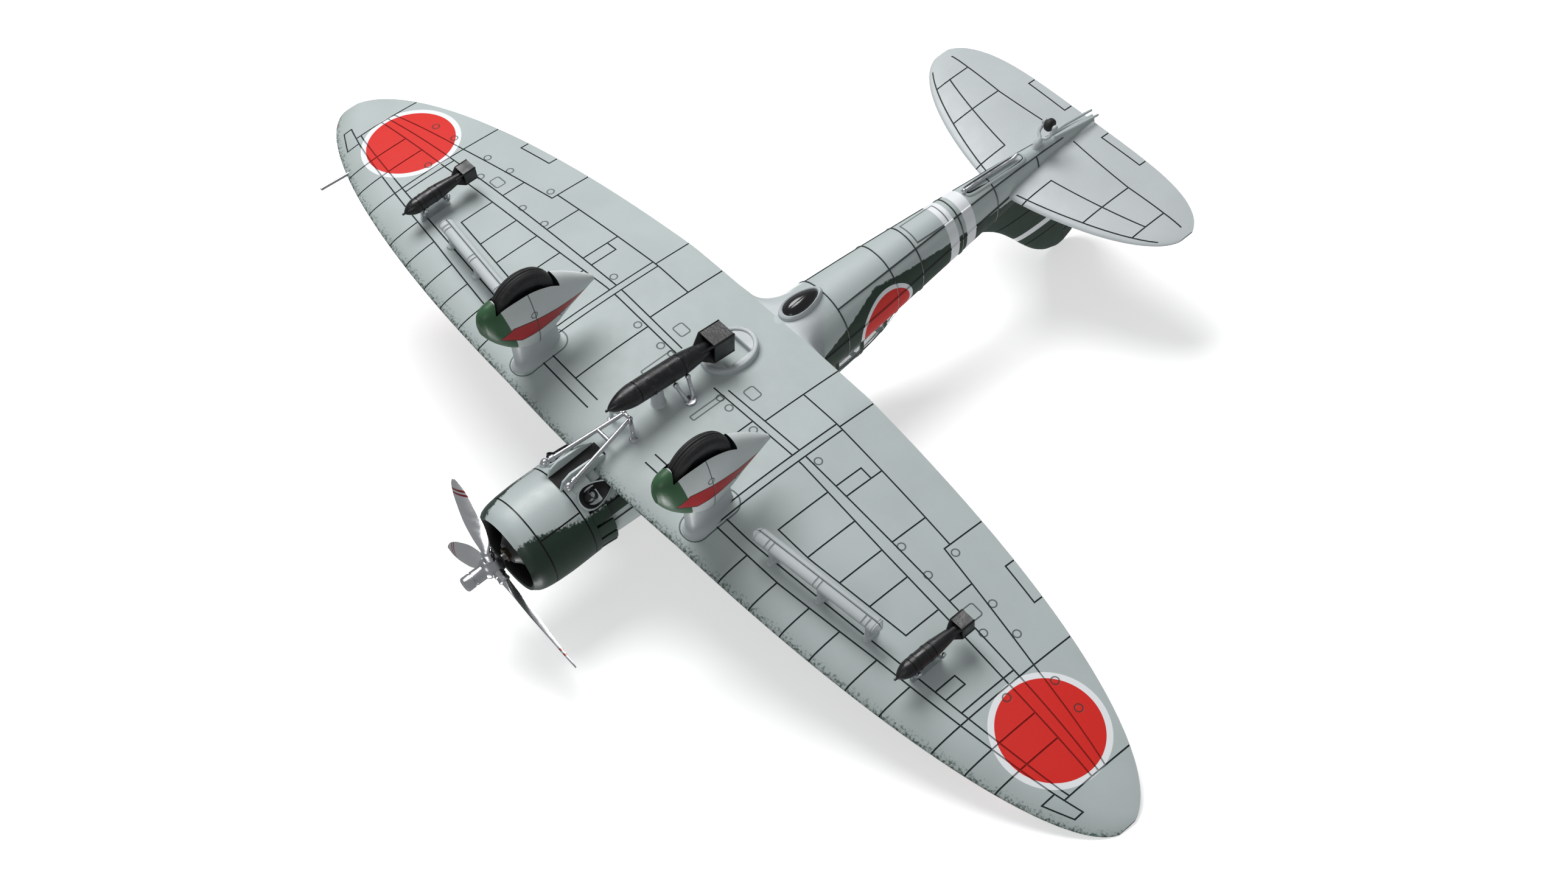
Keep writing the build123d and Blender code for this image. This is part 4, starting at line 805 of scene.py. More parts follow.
UPPER_ANCHORS = [WING_ANCHORS[k] for k in (0, 3, 5, 8, 10)]
UPPER_RIBS = [(9.5, 1, 3), (24.0, 0, 4), (37.6, 1, 2), (49.9, 0, 4), (61.0, 1, 2), (72.8, 0, 4), (91.3, 0, 4)]
UPPER_LINES = [(1, 9.5, 91.3), (2, 9.5, 91.3), (3, 9.5, 91.3)]
for side_name, sign in (("port", 1), ("starboard", -1)):
    reached = np.concatenate([np.linspace(0.4, 95.0, 50), np.linspace(96.0, 99.7, 12)])
    upper = wing_surface(1, UPPER_HEIGHT)
    grid, dark = panelled(upper, reached, UPPER_ANCHORS, [8, 5, 4, 3], UPPER_RIBS, UPPER_LINES, LINE_HALF,
                          half_chord, outward=1)
    part = lidded(grid, dark, [green_wing, wash_green], False)
    piece(f"wing_top_{side_name}", [part if sign > 0 else mirrored(part)],
          replaced=[f"wing_upper_{side_name}"])

# ---- fuselage -------------------------------------------------------------------------------------
COCKPIT = (-16.0, 18.0, 2.75)
SHELL_WALL = 0.8


def fuselage_point(y, turn):
    """Fuselage skin at y and an angle in half turns, 0 at the keel and 1 at the spine, on the port side."""
    values = smooth_between(FUSELAGE, y.ravel()).reshape(*y.shape, 3)
    across, up = section(values, (turn - 0.5) * np.pi, HULL_POWER)
    return np.stack([across, y, up], -1)


def fuselage_half(sign):
    """One half of the fuselage skin, with frame lines, and the cockpit left open."""
    base = np.concatenate([np.linspace(-48.3, -16.6, 22), np.linspace(-15.4, 17.4, 22),
                           np.linspace(18.6, 70.5, 46)])
    ribs = [(-30.0, 0, 4), (-16.0, 1, 3), (5.8, 0, 4), (18.0, 0, 4), (24.4, 0, 4), (34.8, 0, 4), (44.0, 0, 4),
            (55.0, 1, 4)]
    lines = [(1, 5.8, 62.0), (2, -47.0, 66.0)]
    anchors = [lambda y, v=v: np.full_like(y, v) for v in (0.0, 0.2, 0.48, 0.8, 1.0)]
    half = lambda y: np.full_like(y, 0.0058) * (1 + np.clip(y, 0, 60) / 30)
    grid, dark = panelled(fuselage_point, base, anchors, [6, 6, 7, 6], ribs, lines, LINE_HALF, half,
                          outward=-1)
    inner = grid.copy()
    middle = np.array([0.0, 0.0, 1.0]) * grid.mean(axis=1, keepdims=True)[..., 2:]
    away = grid - (0, 1, 0) * grid - middle
    inner -= away * SHELL_WALL / 7.0
    rows, columns = grid.shape[:2]
    count = rows * columns
    y = grid[:, 0, 1]
    mid_y = (y[1:] + y[:-1]) / 2
    half_x = (np.abs(grid[:-1, :-1, 0]) + np.abs(grid[1:, 1:, 0])) / 2
    high = grid[:-1, :-1, 2] > 3
    opened = ((mid_y > COCKPIT[0]) & (mid_y < COCKPIT[1]))[:, None] & (half_x < COCKPIT[2]) & high
    faces, index = [], []
    keep = ~opened
    for i in range(rows - 1):
        for j in range(columns - 1):
            if not keep[i, j]:
                continue
            quad = [i * columns + j, (i + 1) * columns + j, (i + 1) * columns + j + 1, i * columns + j + 1]
            faces.append(quad)
            faces.append([corner + count for corner in quad[::-1]])
            index += [int(dark[i, j]), 0]
            sides = [((i, j), (i + 1, j), j == 0 or not keep[i, j - 1]),
                     ((i + 1, j), (i + 1, j + 1), i == rows - 2 or not keep[i + 1, j]),
                     ((i + 1, j + 1), (i, j + 1), j == columns - 2 or not keep[i, j + 1]),
                     ((i, j + 1), (i, j), i == 0 or not keep[i - 1, j])]
            for (a, b), (c, d), edge in sides:
                if edge:
                    p, q = a * columns + b, c * columns + d
                    faces.append([q, p, p + count, q + count])
                    index.append(0)
    points = np.concatenate([grid.reshape(-1, 3), inner.reshape(-1, 3)])
    part = points, faces, [fuselage_skin, fuselage_wash], index
    return part if sign > 0 else mirrored(part)


def fin_half(sign):
    """One side of the fin and rudder, with the rudder's hinge line and two rib lines."""
    def point(z, share):
        values = smooth_between(FIN, z.ravel()).reshape(*z.shape, 3)
        front, back, half = values[..., 0], values[..., 1], values[..., 2]
        return np.stack([half * bulge(share) + 0.12 * share, front + (back - front) * share, z], -1)
    base = np.concatenate([np.linspace(5.0, 27.0, 26), np.linspace(27.6, 28.8, 6)])
    flat = [lambda z, v=v: np.full_like(z, v) for v in (0.0, 0.62, 0.9, 1.0)]
    grid, dark = panelled(point, base, flat, [8, 4, 2],
                          [(11.4, 0, 3), (17.0, 1, 3), (21.5, 0, 3), (25.2, 1, 3)],
                          [(1, 9.0, 28.0), (2, 9.0, 19.0)], LINE_HALF, lambda z: np.full_like(z, 0.009), 
                          outward=-1)
    part = lidded(grid, dark, [fuselage_skin, fuselage_wash], True)
    return part if sign > 0 else mirrored(part)


for side_name, sign in (("port", 1), ("starboard", -1)):
    piece(f"fuselage_skin_{side_name}", [fuselage_half(sign), fin_half(sign)],
          replaced=[f"fuselage_{side_name}"])

# ---- tailplane ------------------------------------------------------------------------------------
TAIL_SPAN, TAIL_TIP_Y, TAIL_Z = 30.5, 62.2, 0.2


def tail_surface(side):
    def point(x, share):
        front = TAIL_TIP_Y - 15.8 * reach(x, TAIL_SPAN, 1.35)
        back = TAIL_TIP_Y + 7.8 * reach(x, TAIL_SPAN, 4.2)
        half = 0.9 * (back - front) / 23.6
        return np.stack([x, front + (back - front) * share,
                         TAIL_Z + side * (half * bulge(share) + EDGE / 2 * share)], -1)
    return point


TAIL_ANCHORS = [curve((0, 0), (31, 0)), curve((0, 0.04), (16, 0.075), (31, 0.1)),
                curve((0, 0.31), (31, 0.32)),
                curve((0, 0.735), (2, 0.735), (16, 0.65), (24.5, 0.634), (31, 0.64)),
                curve((0, 0.92), (31, 0.92)),
                curve((0, 1), (31, 1))]
TAIL_GAPS = [2, 4, 6, 4, 1]
TAIL_RIBS = [(5.8, 0, 2), (16.2, 1, 3), (24.4, 1, 3), (4.6, 4, 5), (13.8, 4, 5)]
TAIL_LINES = [(1, 3.8, 28.0), (2, 5.8, 24.4), (3, 2.0, 28.5), (4, 4.6, 13.8)]
tail_half = lambda x: LINE_HALF / np.maximum(23.6 * reach(x, TAIL_SPAN, 1.6), 4.0)
tail_base = np.concatenate([np.linspace(-30.45, -28.6, 8), np.linspace(-28, 28, 50),
                            np.linspace(28.6, 30.45, 8)])
tail_ribs, tail_lines = both_ways(TAIL_RIBS, TAIL_LINES)
tail_parts = []
for side, skins in ((-1, [grey_part, grey_wash]), (1, [green_wing, wash_green])):
    grid, dark = panelled(tail_surface(side), tail_base, TAIL_ANCHORS, TAIL_GAPS, tail_ribs, tail_lines,
                          LINE_HALF, tail_half, outward=side)
    tail_parts.append(lidded(grid, dark, skins, side < 0))
piece("tailplane_skin", tail_parts, replaced=["tailplane"])

# ---- cowl, nose and engine ------------------------------------------------------------------------
COWL_LINES = [-58.6, -50.6]


def cowl_radius(y):
    return np.interp(y, [-62.3, -62.25, -62.0, -61.4, -60.3, -58.3, -54.8, -49.4],
                     [6.8, 7.15, 7.5, 7.85, 8.2, 8.45, 8.6, 8.5])


def cowl_part():
    """Cowl ring: rounded lip, outer skin with two seams round it and three along it, and a black lining."""
    fine = np.linspace(-62.3, -49.4, 60)
    smooth = np.convolve(np.pad(cowl_radius(fine), 3, "edge"), np.ones(7) / 7, "valid")
    skin_radius = lambda y: np.interp(y, fine, smooth)
    def point(y, turn):
        return np.stack([skin_radius(y) * np.cos(turn * 2 * np.pi), y,
                         skin_radius(y) * np.sin(turn * 2 * np.pi)], -1)
    base = np.concatenate([[-62.3, -62.25, -62.15, -62.0], np.linspace(-61.8, -49.4, 26)])
    seams = [0.0, 0.14, 0.36, 0.5, 0.632, 0.75, 0.868, 1.0]
    anchors = [lambda y, v=v: np.full_like(y, v) for v in seams]
    grid, dark = panelled(point, base, anchors, [9, 13, 9, 8, 7, 7, 8], [(y, 0, 7) for y in COWL_LINES],
                          [(1, -58.6, -50.6), (2, -58.6, -50.6), (4, -58.6, -50.6), (6, -58.6, -50.6)],
                          LINE_HALF,
                          lambda y: np.full_like(y, LINE_HALF / 54), outward=1, depth=0.16)
    grid = grid[:, :-1]
    rows, columns = grid.shape[:2]
    faces = grid_faces(rows, columns, closed=True)
    index = dark.ravel().tolist()
    turn = np.arctan2(grid[0, :, 2], grid[0, :, 0])
    lining = [(6.62, -62.15), (6.5, -61.8), (6.5, -61.0), (7.3, -59.8), (7.85, -57.9), (8.0, -54.8),
              (7.9, -49.4)]
    inner = np.array([[(r * np.cos(a), y, r * np.sin(a)) for a in turn] for r, y in lining])
    whole = np.concatenate([inner[::-1], grid])
    extra = len(lining)
    faces = [[corner + extra * columns for corner in face] for face in faces]
    more = grid_faces(extra + 1, columns, closed=True)
    last = (extra + rows - 1) * columns
    rim = [[last + j, last + (j + 1) % columns, (j + 1) % columns, j] for j in range(columns)]
    faces += more + rim
    index += [2 if k < (extra - 1) * columns else 0 for k in range(len(more))]
    index += [0] * len(rim)
    return whole.reshape(-1, 3), faces, [nose_skin, nose_wash, dark_pit], index


piece("cowl_skin", [cowl_part()], replaced=["cowling"])


def petals():
    """Cowl flaps: a ring of short curved plates with gaps between them."""
    parts = []
    count, gap = 18, 0.035
    for i in range(count):
        low, high = 2 * np.pi * i / count + gap, 2 * np.pi * (i + 1) / count - gap
        turn = np.linspace(low, high, 7)
        rows = []
        for y, radius in ((-49.35, 8.42), (-48.0, 8.5), (-46.3, 8.68)):
            rows.append((y, radius))
        loop = rows + [(y, radius - 0.45) for y, radius in rows[::-1]]
        grid = np.array([[(r * np.cos(a), y, r * np.sin(a)) for y, r in loop] for a in turn])
        parts.append(surface(grid, nose_skin, flip=True))
    return parts


piece("cowl_petals", petals(), replaced=["cowl_flaps"])


def nose_belly():
    """Panel under the nose: the fuselage skin from the cowl back to the wing, with its thick dark seams."""
    def point(y, turn):
        values = smooth_between(FUSELAGE, y.ravel()).reshape(*y.shape, 3)
        across, up = section(values, turn * np.pi, HULL_POWER)
        return np.stack([across, y, up], -1)
    base = np.linspace(-48.3, -40.4, 18)
    anchors = [lambda y, v=v: np.full_like(y, v) for v in (-0.93, -0.83, -0.64, -0.36, -0.17, -0.07)]
    grid, dark = panelled(point, base, anchors, [3, 6, 9, 6, 3], [(-42.0, 0, 5)],
                          [(1, -48.3, -42.0), (2, -48.3, -42.0), (3, -48.3, -42.0), (4, -48.3, -42.0)], 0.18,
                          lambda y: np.full_like(y, 0.007), outward=-1, depth=0.2)
    return lidded(grid * (1.003, 1, 1.003), dark, [nose_skin, nose_wash], False)


piece("nose_belly", [nose_belly()], replaced=["nose_belly_panel"])


def exhaust_part(sign):
    """Black teardrop recess on the flank, drawn out aft, with a flared stub in its deep end."""
    angle = np.radians(54.0)
    out = np.array([sign * np.cos(angle), 0, -np.sin(angle)])
    around = np.array([sign * np.sin(angle), 0, np.cos(angle)])
    middle = out * 8.75 + (0, -47.6, 0)
    turn = np.linspace(0, 2 * np.pi, 40, endpoint=False)
    shape = np.cos(turn)
    width = 1.75 * np.sin(turn) * (1 - 0.42 * shape)
    loops = []
    for scale_by, drop in ((1.12, -0.5), (1.1, 0.08), (1.0, 0.14), (0.93, 0.05), (0.75, -0.25), (0.4, -0.5),
                           (0.1, -0.6)):
        along = middle[1] + 3.0 * shape * scale_by + 0.9
        off = width * scale_by
        lift = np.sqrt(np.maximum(75.0 - off ** 2, 1)) - 8.66
        loops.append([middle * (1, 0, 1) + (0, a, 0) + around * o + out * (drop + r) for a, o,
                      r in zip(along, off, lift)])
    bowl = surface(np.array(loops), dark_pit, flip=sign > 0)
    bowl = bowl[0], bowl[1], [nose_skin, dark_pit], [0] * 80 + [1] * (len(bowl[1]) - 80)
    foot = middle + (0, -0.6, 0) - out * 0.7
    pipe = turned([(0.95, 0), (1.0, 0.5), (0.95, 1.2), (1.0, 1.55), (0.85, 1.62), (0.72, 1.3), (0.7, 0.5)],
                  black_part,
                  foot, foot + out * 1.0 + (0, 0.75, 0) - around * 0.2, 28)
    return [bowl, pipe]


piece("exhaust_recesses", exhaust_part(1) + exhaust_part(-1), replaced=["exhaust_stubs"])


def engine_parts():
    """Two rows of finned cylinders round a stepped crankcase, with push rods in front."""
    case = turned([(0.3, 0), (1.9, 0), (2.2, 0.35), (2.7, 0.9), (3.0, 1.1), (3.2, 2.1), (3.1, 2.3),
                   (3.2, 2.5),
                   (3.2, 8.8), (2.0, 11.5)], black_part, (0, -62.0, 0), (0, -50.4, 0), 40)
    parts = []
    for row, y in enumerate((-58.6, -55.6)):
        for i in range(7):
            turn = 2 * np.pi * (i + row / 2) / 7 + np.pi / 2
            out = np.array([np.cos(turn), 0, np.sin(turn)])
            profile = [(0.78, 0)]
            for fin in range(9):
                at = 0.3 + fin * 0.38
                profile += [(0.78, at), (1.05, at + 0.02), (1.05, at + 0.16), (0.78, at + 0.2)]
            profile += [(0.8, 3.75), (0.3, 3.8)]
            parts.append(turned(profile, black_part, out * 2.85 + (0, y, 0), out * 6.6 + (0, y, 0), 20))
            if row == 0:
                for lean in (-0.1, 0.1):
                    way = np.array([np.cos(turn + lean), 0, np.sin(turn + lean)])
                    parts.append(tube([way * 2.7 + (0, -60.6, 0), way * 4.5 + (0, -60.2, 0),
                                       way * 6.2 + (0, -59.5, 0)],
                                      0.16, steel_part, 8))
    return case, parts


case_part, cylinder_parts = engine_parts()
piece("engine_case", [case_part], replaced=["engine_crankcase"])
piece("finned_cylinders", cylinder_parts, replaced=["engine_cylinders"])


def scoop_parts():
    """Oil cooler under the nose: two side plates with sloping ends and a dark channel floor between them."""
    parts = []
    for sign in (-1, 1):
        outline = [(-51.0, -8.4), (-50.2, -10.1), (-48.6, -10.8), (-44.5, -10.5), (-42.0, -9.6),
                   (-41.5, -8.3), (-46, -7.6)]
        rows = []
        for inset, x in ((0.16, 1.4), (0.0, 1.48), (0.0, 1.8), (0.16, 1.88)):
            center = np.mean(outline, axis=0)
            rows.append([(sign * x, *(center + (np.array(p) - center) * (1 - inset / 2.5))) for p in outline])
        parts.append(surface(np.array(rows), nose_skin, flip=sign > 0))
    floor = np.array([[(x, y, z) for x in (-1.45, 1.45)] for y, z in
                      ((-50.9, -7.0), (-50.9, -8.75), (-46.0, -8.95), (-41.5, -9.2), (-41.5, -7.0))])
    faces = grid_faces(5, 2) + [[0, 2, 4, 6, 8], [9, 7, 5, 3, 1], [0, 8, 9, 1]]
    parts.append((floor.reshape(-1, 3), faces, [dark_pit], [0] * len(faces)))
    return parts


piece("cooler_scoop", scoop_parts(), replaced=["oil_cooler_scoop"])

# ---- propeller ------------------------------------------------------------------------------------
BLADE = np.array([(1.0, 0.72, 0.72, 40.0), (3.2, 0.75, 0.70, 38.0), (6.5, 1.45, 0.42, 33.0),
                  (11.0, 1.85, 0.32, 28.0),
                  (15.5, 1.70, 0.26, 23.0), (19.3, 1.15, 0.20, 20.0), (21.35, 0.35, 0.12, 18.0)])
PROP_TURN = 40.0


def blade_part(degrees):
    """One twisted blade with thin edges."""
    out = np.array([np.cos(np.radians(degrees)), 0, np.sin(np.radians(degrees))])
    turn = np.array([-out[2], 0, out[0]])
    radii = np.concatenate([np.linspace(1.0, 19.3, 34), np.linspace(19.6, 21.35, 9)])
    values = smooth_between(BLADE, radii)
    values[-3:, 0] *= (0.98, 0.86, 0.6)
    angle = np.linspace(0, 2 * np.pi, 24, endpoint=False)
    rows = []
    for radius, (half, thick, pitch) in zip(radii, values):
        pitch = np.radians(pitch)
        chord = turn * np.cos(pitch) - np.array([0, 1, 0]) * np.sin(pitch)
        normal = np.cross(out, chord)
        square = np.clip((radius - 3.2) / 4, 0, 1)
        across = np.cos(angle)
        rise = np.sin(angle) * (1 - square * 0.5 * np.abs(np.cos(angle)) ** 2)
        rows.append(out * radius + (0, PROP_Y,
                                    0) + half * across[:, None] * chord + thick * rise[:, None] * normal)
    return surface(np.array(rows), silver_blade)


piece("propeller_blades", [blade_part(PROP_TURN + 120 * i) for i in range(3)], "propeller", ["prop_blades"])


def hub_parts():
    """Long front cylinder with a nut, a domed boss, and a collar round each blade root."""
    hub = turned([(0.3, 0), (1.05, 0.0), (1.25, 0.14), (1.3, 0.35), (1.3, 1.5), (1.18, 1.6), (1.18, 1.8),
                  (1.3, 1.9),
                  (1.3, 3.7), (1.45, 3.85), (1.72, 4.2), (1.75, 4.6), (1.75, 6.8), (1.6, 7.1), (1.2, 7.4),
                  (0.6, 7.4)],
                 silver_part, (0, -70.8, 0), (0, -63.4, 0), 40)
    parts = [hub]
    for i in range(3):
        turn = np.radians(PROP_TURN + 120 * i)
        out = np.array([np.cos(turn), 0, np.sin(turn)])
        start = out * 1.3 + (0, PROP_Y, 0)
        parts.append(turned([(0.9, 0), (1.02, 0.15), (1.02, 0.9), (0.92, 1.0), (0.92, 1.5), (1.0, 1.6),
                             (1.0, 2.0),
                             (0.8, 2.15)], silver_part, start, start + out, 24))
    return parts


piece("propeller_hub", hub_parts(), "propeller", ["prop_hub"])


# ---- spats, wheels and legs -----------------------------------------------------------------------
def cut(made, cutter_part):
    """Takes a closed shape away from a piece."""
    mesh = bpy.data.meshes.new("cutter")
    points, faces, finishes, _ = cutter_part
    mesh.from_pydata(to_row(points).tolist(), [], faces)
    for finish in finishes:
        mesh.materials.append(finish)
    mesh.update()
    cutter = bpy.data.objects.new("cutter", mesh)
    bpy.context.scene.collection.objects.link(cutter)
    modifier = made.modifiers.new("cut", "BOOLEAN")
    modifier.operation, modifier.solver, modifier.object = "DIFFERENCE", "EXACT", cutter
    modifier.material_mode = "TRANSFER"
    evaluated = made.evaluated_get(bpy.context.evaluated_depsgraph_get())
    result = bpy.data.meshes.new_from_object(evaluated)
    made.modifiers.clear()
    made.data = result
    bpy.data.objects.remove(cutter)
    result.polygons.foreach_set("use_smooth", [True] * len(result.polygons))
    if "sharp_edge" in result.attributes:
        result.attributes.remove(result.attributes["sharp_edge"])
    mark_sharp(result, 35.0)


def spat_part(side, sign):
    """Half a spat, outer (side 1) or inner (side -1), as a lofted shell with a seam round its middle."""
    y = np.concatenate([np.linspace(-45.88, -44.6, 8), np.linspace(-44.2, -26.6, 44),
                        np.linspace(-26.2, -23.95, 8)])
    values = smooth_between(SPAT, y)
    turn = np.linspace(-np.pi / 2, np.pi / 2, 33)
    across, up = section(values[:, None, :], turn[None, :], 2.15)
    grid = np.stack([WHEEL[0] + side * across, np.broadcast_to(y[:, None], across.shape), up], -1)
    flip = side > 0
    faces = grid_faces(len(y), grid.shape[1], flip=flip)
    index = [0] * len(faces)
    columns = grid.shape[1]
    for i in range(len(y) - 1):
        strip = [i * columns, (i + 1) * columns, (i + 1) * columns + columns - 1, i * columns + columns - 1]
        faces.append(strip if not flip else strip[::-1])
        index.append(1)
    for end, out in ((0, True), ((len(y) - 1) * columns, False)):
        cap = [end + j for j in range(columns)]
        faces.append(cap if out != flip else cap[::-1])
        index.append(0)
    part = grid.reshape(-1, 3), faces, [spat_skin, dark_seam_and_shade], index
    return part if sign > 0 else mirrored(part)


def well(sign):
    """Room for the tyre, as wide as the opening the wheel stands out of. Its cut walls take the dark finish,
    painted shade inside the opening.
    """
    center = WHEEL * (sign, 1, 1)
    # The dark finish on the well's walls is painted shade in the spat's opening.
    return turned([(0.5, 0), (6.3, 0), (6.4, 0.1), (6.4, 3.3), (6.3, 3.4), (0.5, 3.4)], dark_seam_and_shade,
                  center - (1.7, 0, 0), center + (1.7, 0, 0), 72)


for side_name, sign in (("port", 1), ("starboard", -1)):
    for part_name, side in (("outer", 1), ("inner", -1)):
        made = piece(f"spat_{part_name}_skin_{side_name}", [spat_part(side, sign)],
                     replaced=[f"spat_{part_name}_{side_name}"])
        cut(made, well(sign))
    tyre_profile = [(3.9, 0.12), (4.3, 0.06), (4.9, 0.0), (5.4, 0.12), (5.75, 0.42), (5.88, 0.72), (5.9, 0.8),
                    (5.82, 0.86), (5.9, 0.92), (5.97, 1.2), (5.9, 1.28), (5.99, 1.35)]
    tyre_profile += [(radius, 2 * TYRE_HALF - at) for radius, at in tyre_profile[-2::-1]]
    center = WHEEL * (sign, 1, 1)
    tyre = turned(tyre_profile + [tyre_profile[0]], rubber, center - (TYRE_HALF, 0, 0),
                  center + (TYRE_HALF, 0, 0), 72)
    rows = len(tyre_profile) + 1
    points, faces, kinds, index = tyre
    keep = len(faces) - 2
    faces = [[corner % ((rows - 1) * 72) for corner in face] for face in faces[:keep]]
    piece(f"tread_{side_name}", [(points[:(rows - 1) * 72], faces, kinds, index[:keep])],
          f"wheel_{side_name}",
          [f"tyre_{side_name}"])


def leg_part(sign):
    """Leg fairing: a thin aerofoil post that flares out into the wing."""
    rows = []
    for z, grow in ((-7.4, 1.35), (-8.6, 1.3), (-9.2, 1.16), (-9.7, 1.05), (-10.6, 1.0), (-14.0, 0.97),
                    (-17.0, 0.95)):
        share = np.concatenate([np.linspace(0, 1, 22) ** 1.6, np.linspace(1, 0, 22)[1:-1] ** 1.6])
        sign_y = np.array([1] * 22 + [-1] * 20)
        y = -36.85 + (share - 0.5) * 9.0 * (1 + (grow - 1) * 0.6)
        x = sign * (22.0 + sign_y * (1.75 * grow * bulge(share) + 0.12 * (share > 0.02)))
        rows.append(np.stack([x, y, np.full_like(x, z)], -1))
    return surface(np.array(rows), grey_part, flip=sign > 0)


for side_name, sign in (("port", 1), ("starboard", -1)):
    piece(f"leg_cover_{side_name}", [leg_part(sign)], replaced=[f"leg_fairing_{side_name}"])

# ---- canopy and cockpit ---------------------------------------------------------------------------
FRAMES = [-20.6, -17.0, -12.8, -7.0, -1.0, 5.0, 11.0, 17.0, 21.5]


def canopy_part():
    """Long glasshouse: clear panes between raised green bars across it and along it."""
    def point(y, turn):
        values = smooth_between(CANOPY, y.ravel()).reshape(*y.shape, 3)
        across, up = section(values, turn * np.pi, 2.1)
        return np.stack([across, y, up], -1)
    lows = np.linspace(-21.9, 23.9, 47)
    us = spread(lows, FRAMES, 0.4)
    sill = lambda y: np.arcsin(np.clip((7.3 - (smooth_between(CANOPY, y)[:, 1] + 3.0) / 2)
                                       / ((smooth_between(CANOPY, y)[:, 1] - 3.0) / 2), -0.9, 0.93)) / np.pi
    low = sill(us)
    bars = [0.0, 0.16, 0.36, 0.5, 0.64, 0.84, 1.0]
    rows, kinds = [], []
    for k, bar in enumerate(bars):
        for offset in (0, 0.03) if k == 0 else (-0.03, 0) if k == len(bars) - 1 else (-0.018, 0.018):
            rows.append(bar + offset)
            kinds.append(k)
        if k < len(bars) - 1:
            for t in (0.25, 0.5, 0.75):
                rows.append(bar + (bars[k + 1] - bar) * t)
                kinds.append(-1)
    share = np.array(rows)
    turn = low[:, None] + (1 - 2 * low[:, None]) * share
    outer = point(np.broadcast_to(us[:, None], turn.shape), turn)
    kinds = np.array(kinds)
    bar_v = (kinds[1:] == kinds[:-1]) & (kinds[1:] >= 0)
    mid = (us[1:] + us[:-1]) / 2
    bar_u = np.min(np.abs(mid[:, None] - np.array(FRAMES)), axis=1) < 0.41
    solid = bar_u[:, None] | bar_v[None, :]
    lifted = np.zeros(outer.shape[:2])
    lifted[:-1, :-1] = np.maximum(lifted[:-1, :-1], solid)
    lifted[1:, :-1] = np.maximum(lifted[1:, :-1], solid)
    lifted[:-1, 1:] = np.maximum(lifted[:-1, 1:], solid)
    lifted[1:, 1:] = np.maximum(lifted[1:, 1:], solid)
    center = outer.mean(axis=1, keepdims=True)
    away = (outer - center) * (1, 0, 1)
    away /= np.linalg.norm(away, axis=-1, keepdims=True) + 1e-9
    outer = outer - away * 0.12 * (1 - lifted[..., None])
    inner = outer - away * 0.4
    rows, columns = outer.shape[:2]
    count = rows * columns
    faces = grid_faces(rows, columns)
    index = [1 if s else 0 for s in solid.ravel()]
    faces += [[corner + count for corner in face[::-1]] for face in faces]
    index += index
    border = [(i, 0) for i in range(rows)] + [(rows - 1, j) for j in range(1, columns)]
    border += [(i, columns - 1) for i in range(rows - 2, -1, -1)] + [(0, j) for j in range(columns - 2, 0,
                                                                                           -1)]
    for (i, j), (p, q) in zip(border, border[1:] + border[:1]):
        a, b = i * columns + j, p * columns + q
        faces.append([b, a, a + count, b + count][::-1])
        index.append(1)
    return np.concatenate([outer.reshape(-1, 3), inner.reshape(-1, 3)]), faces, [glass, green_wing], index


piece("canopy_glass", [canopy_part()], replaced=["canopy_glazing"])

# ---- main bomb, crutch and stays ------------------------------------------------------------------
def bomb_profile(radius, nose, body, length, tail, fuse):
    """Turned outline of a bomb: fuse, rounded nose, joint grooves, straight body and long tail cone."""
    share = np.linspace(0, 1, 14)[1:]
    outline = [(0.12, 0.0), (fuse, 0.08), (fuse, 0.5), (fuse * 1.15, 0.55)]
    outline += [(fuse * 1.15 + (radius - fuse * 1.15) * np.sin(t * np.pi / 2) ** 0.9,
                 0.55 + (nose - 0.55) * t ** 1.15)
                for t in share]
    outline += [(radius, nose + 0.02), (radius - 0.12, nose + 0.06), (radius - 0.12, nose + 0.2),
                (radius, nose + 0.26)]
    end = nose + body
    outline += [(radius, nose + body * 0.5), (radius, end - 0.26), (radius - 0.12, end - 0.2),
                (radius - 0.12, end - 0.06), (radius * 0.99, end)]
    for t in (0.08, 0.2, 0.4, 0.6, 0.8, 1.0):
        outline.append((radius + (tail - radius) * (t ** 1.15), end + (length - end) * t))
    outline.append((tail * 0.6, length + 0.02))
    return outline


def fin_box(start, axis, across, span, thick, length, total):
    """Four bomb fins set crosswise, with a square ring round their rear half."""
    axis, across = np.asarray(axis, float), np.asarray(across, float)
    up = np.cross(axis, across)
    parts = []

    def plate(corners, normal, half):
        low = np.array([start + a * axis + b * way for a, b, way in corners])
        center = low.mean(axis=0)
        thin = center + (low - center) * 0.985
        return surface(np.array([thin - normal * half, low - normal * half * 0.6, low + normal * half * 0.6,
                                 thin + normal * half]), bomb_skin)
    for turn in (45, 135, 225, 315):
        way = np.cos(np.radians(turn)) * across + np.sin(np.radians(turn)) * up
        reach_out = span * np.sqrt(2)
        corners = [(total - length, 0.5, way), (total - length * 0.56, reach_out, way),
                   (total, reach_out, way),
                   (total, 0.3, way)]
        parts.append(plate(corners, np.cross(axis, way), thick / 2))
    for turn in (0, 90, 180, 270):
        out = np.cos(np.radians(turn)) * across + np.sin(np.radians(turn)) * up
        along = np.cross(axis, out)
        ring_low, ring_high = total - length * 0.55, total
        corners = np.array([start + a * axis + out * (span - thick / 2) + along * b for a, b in
                            ((ring_low, -span), (ring_high, -span), (ring_high, span), (ring_low, span))])
        center = corners.mean(axis=0)
        thin = center + (corners - center) * 0.985
        parts.append(surface(np.array([thin - out * thick / 2, corners - out * thick * 0.3,
                                       corners + out * thick * 0.3,
                                       thin + out * thick / 2]), bomb_skin, flip=True))
    return parts


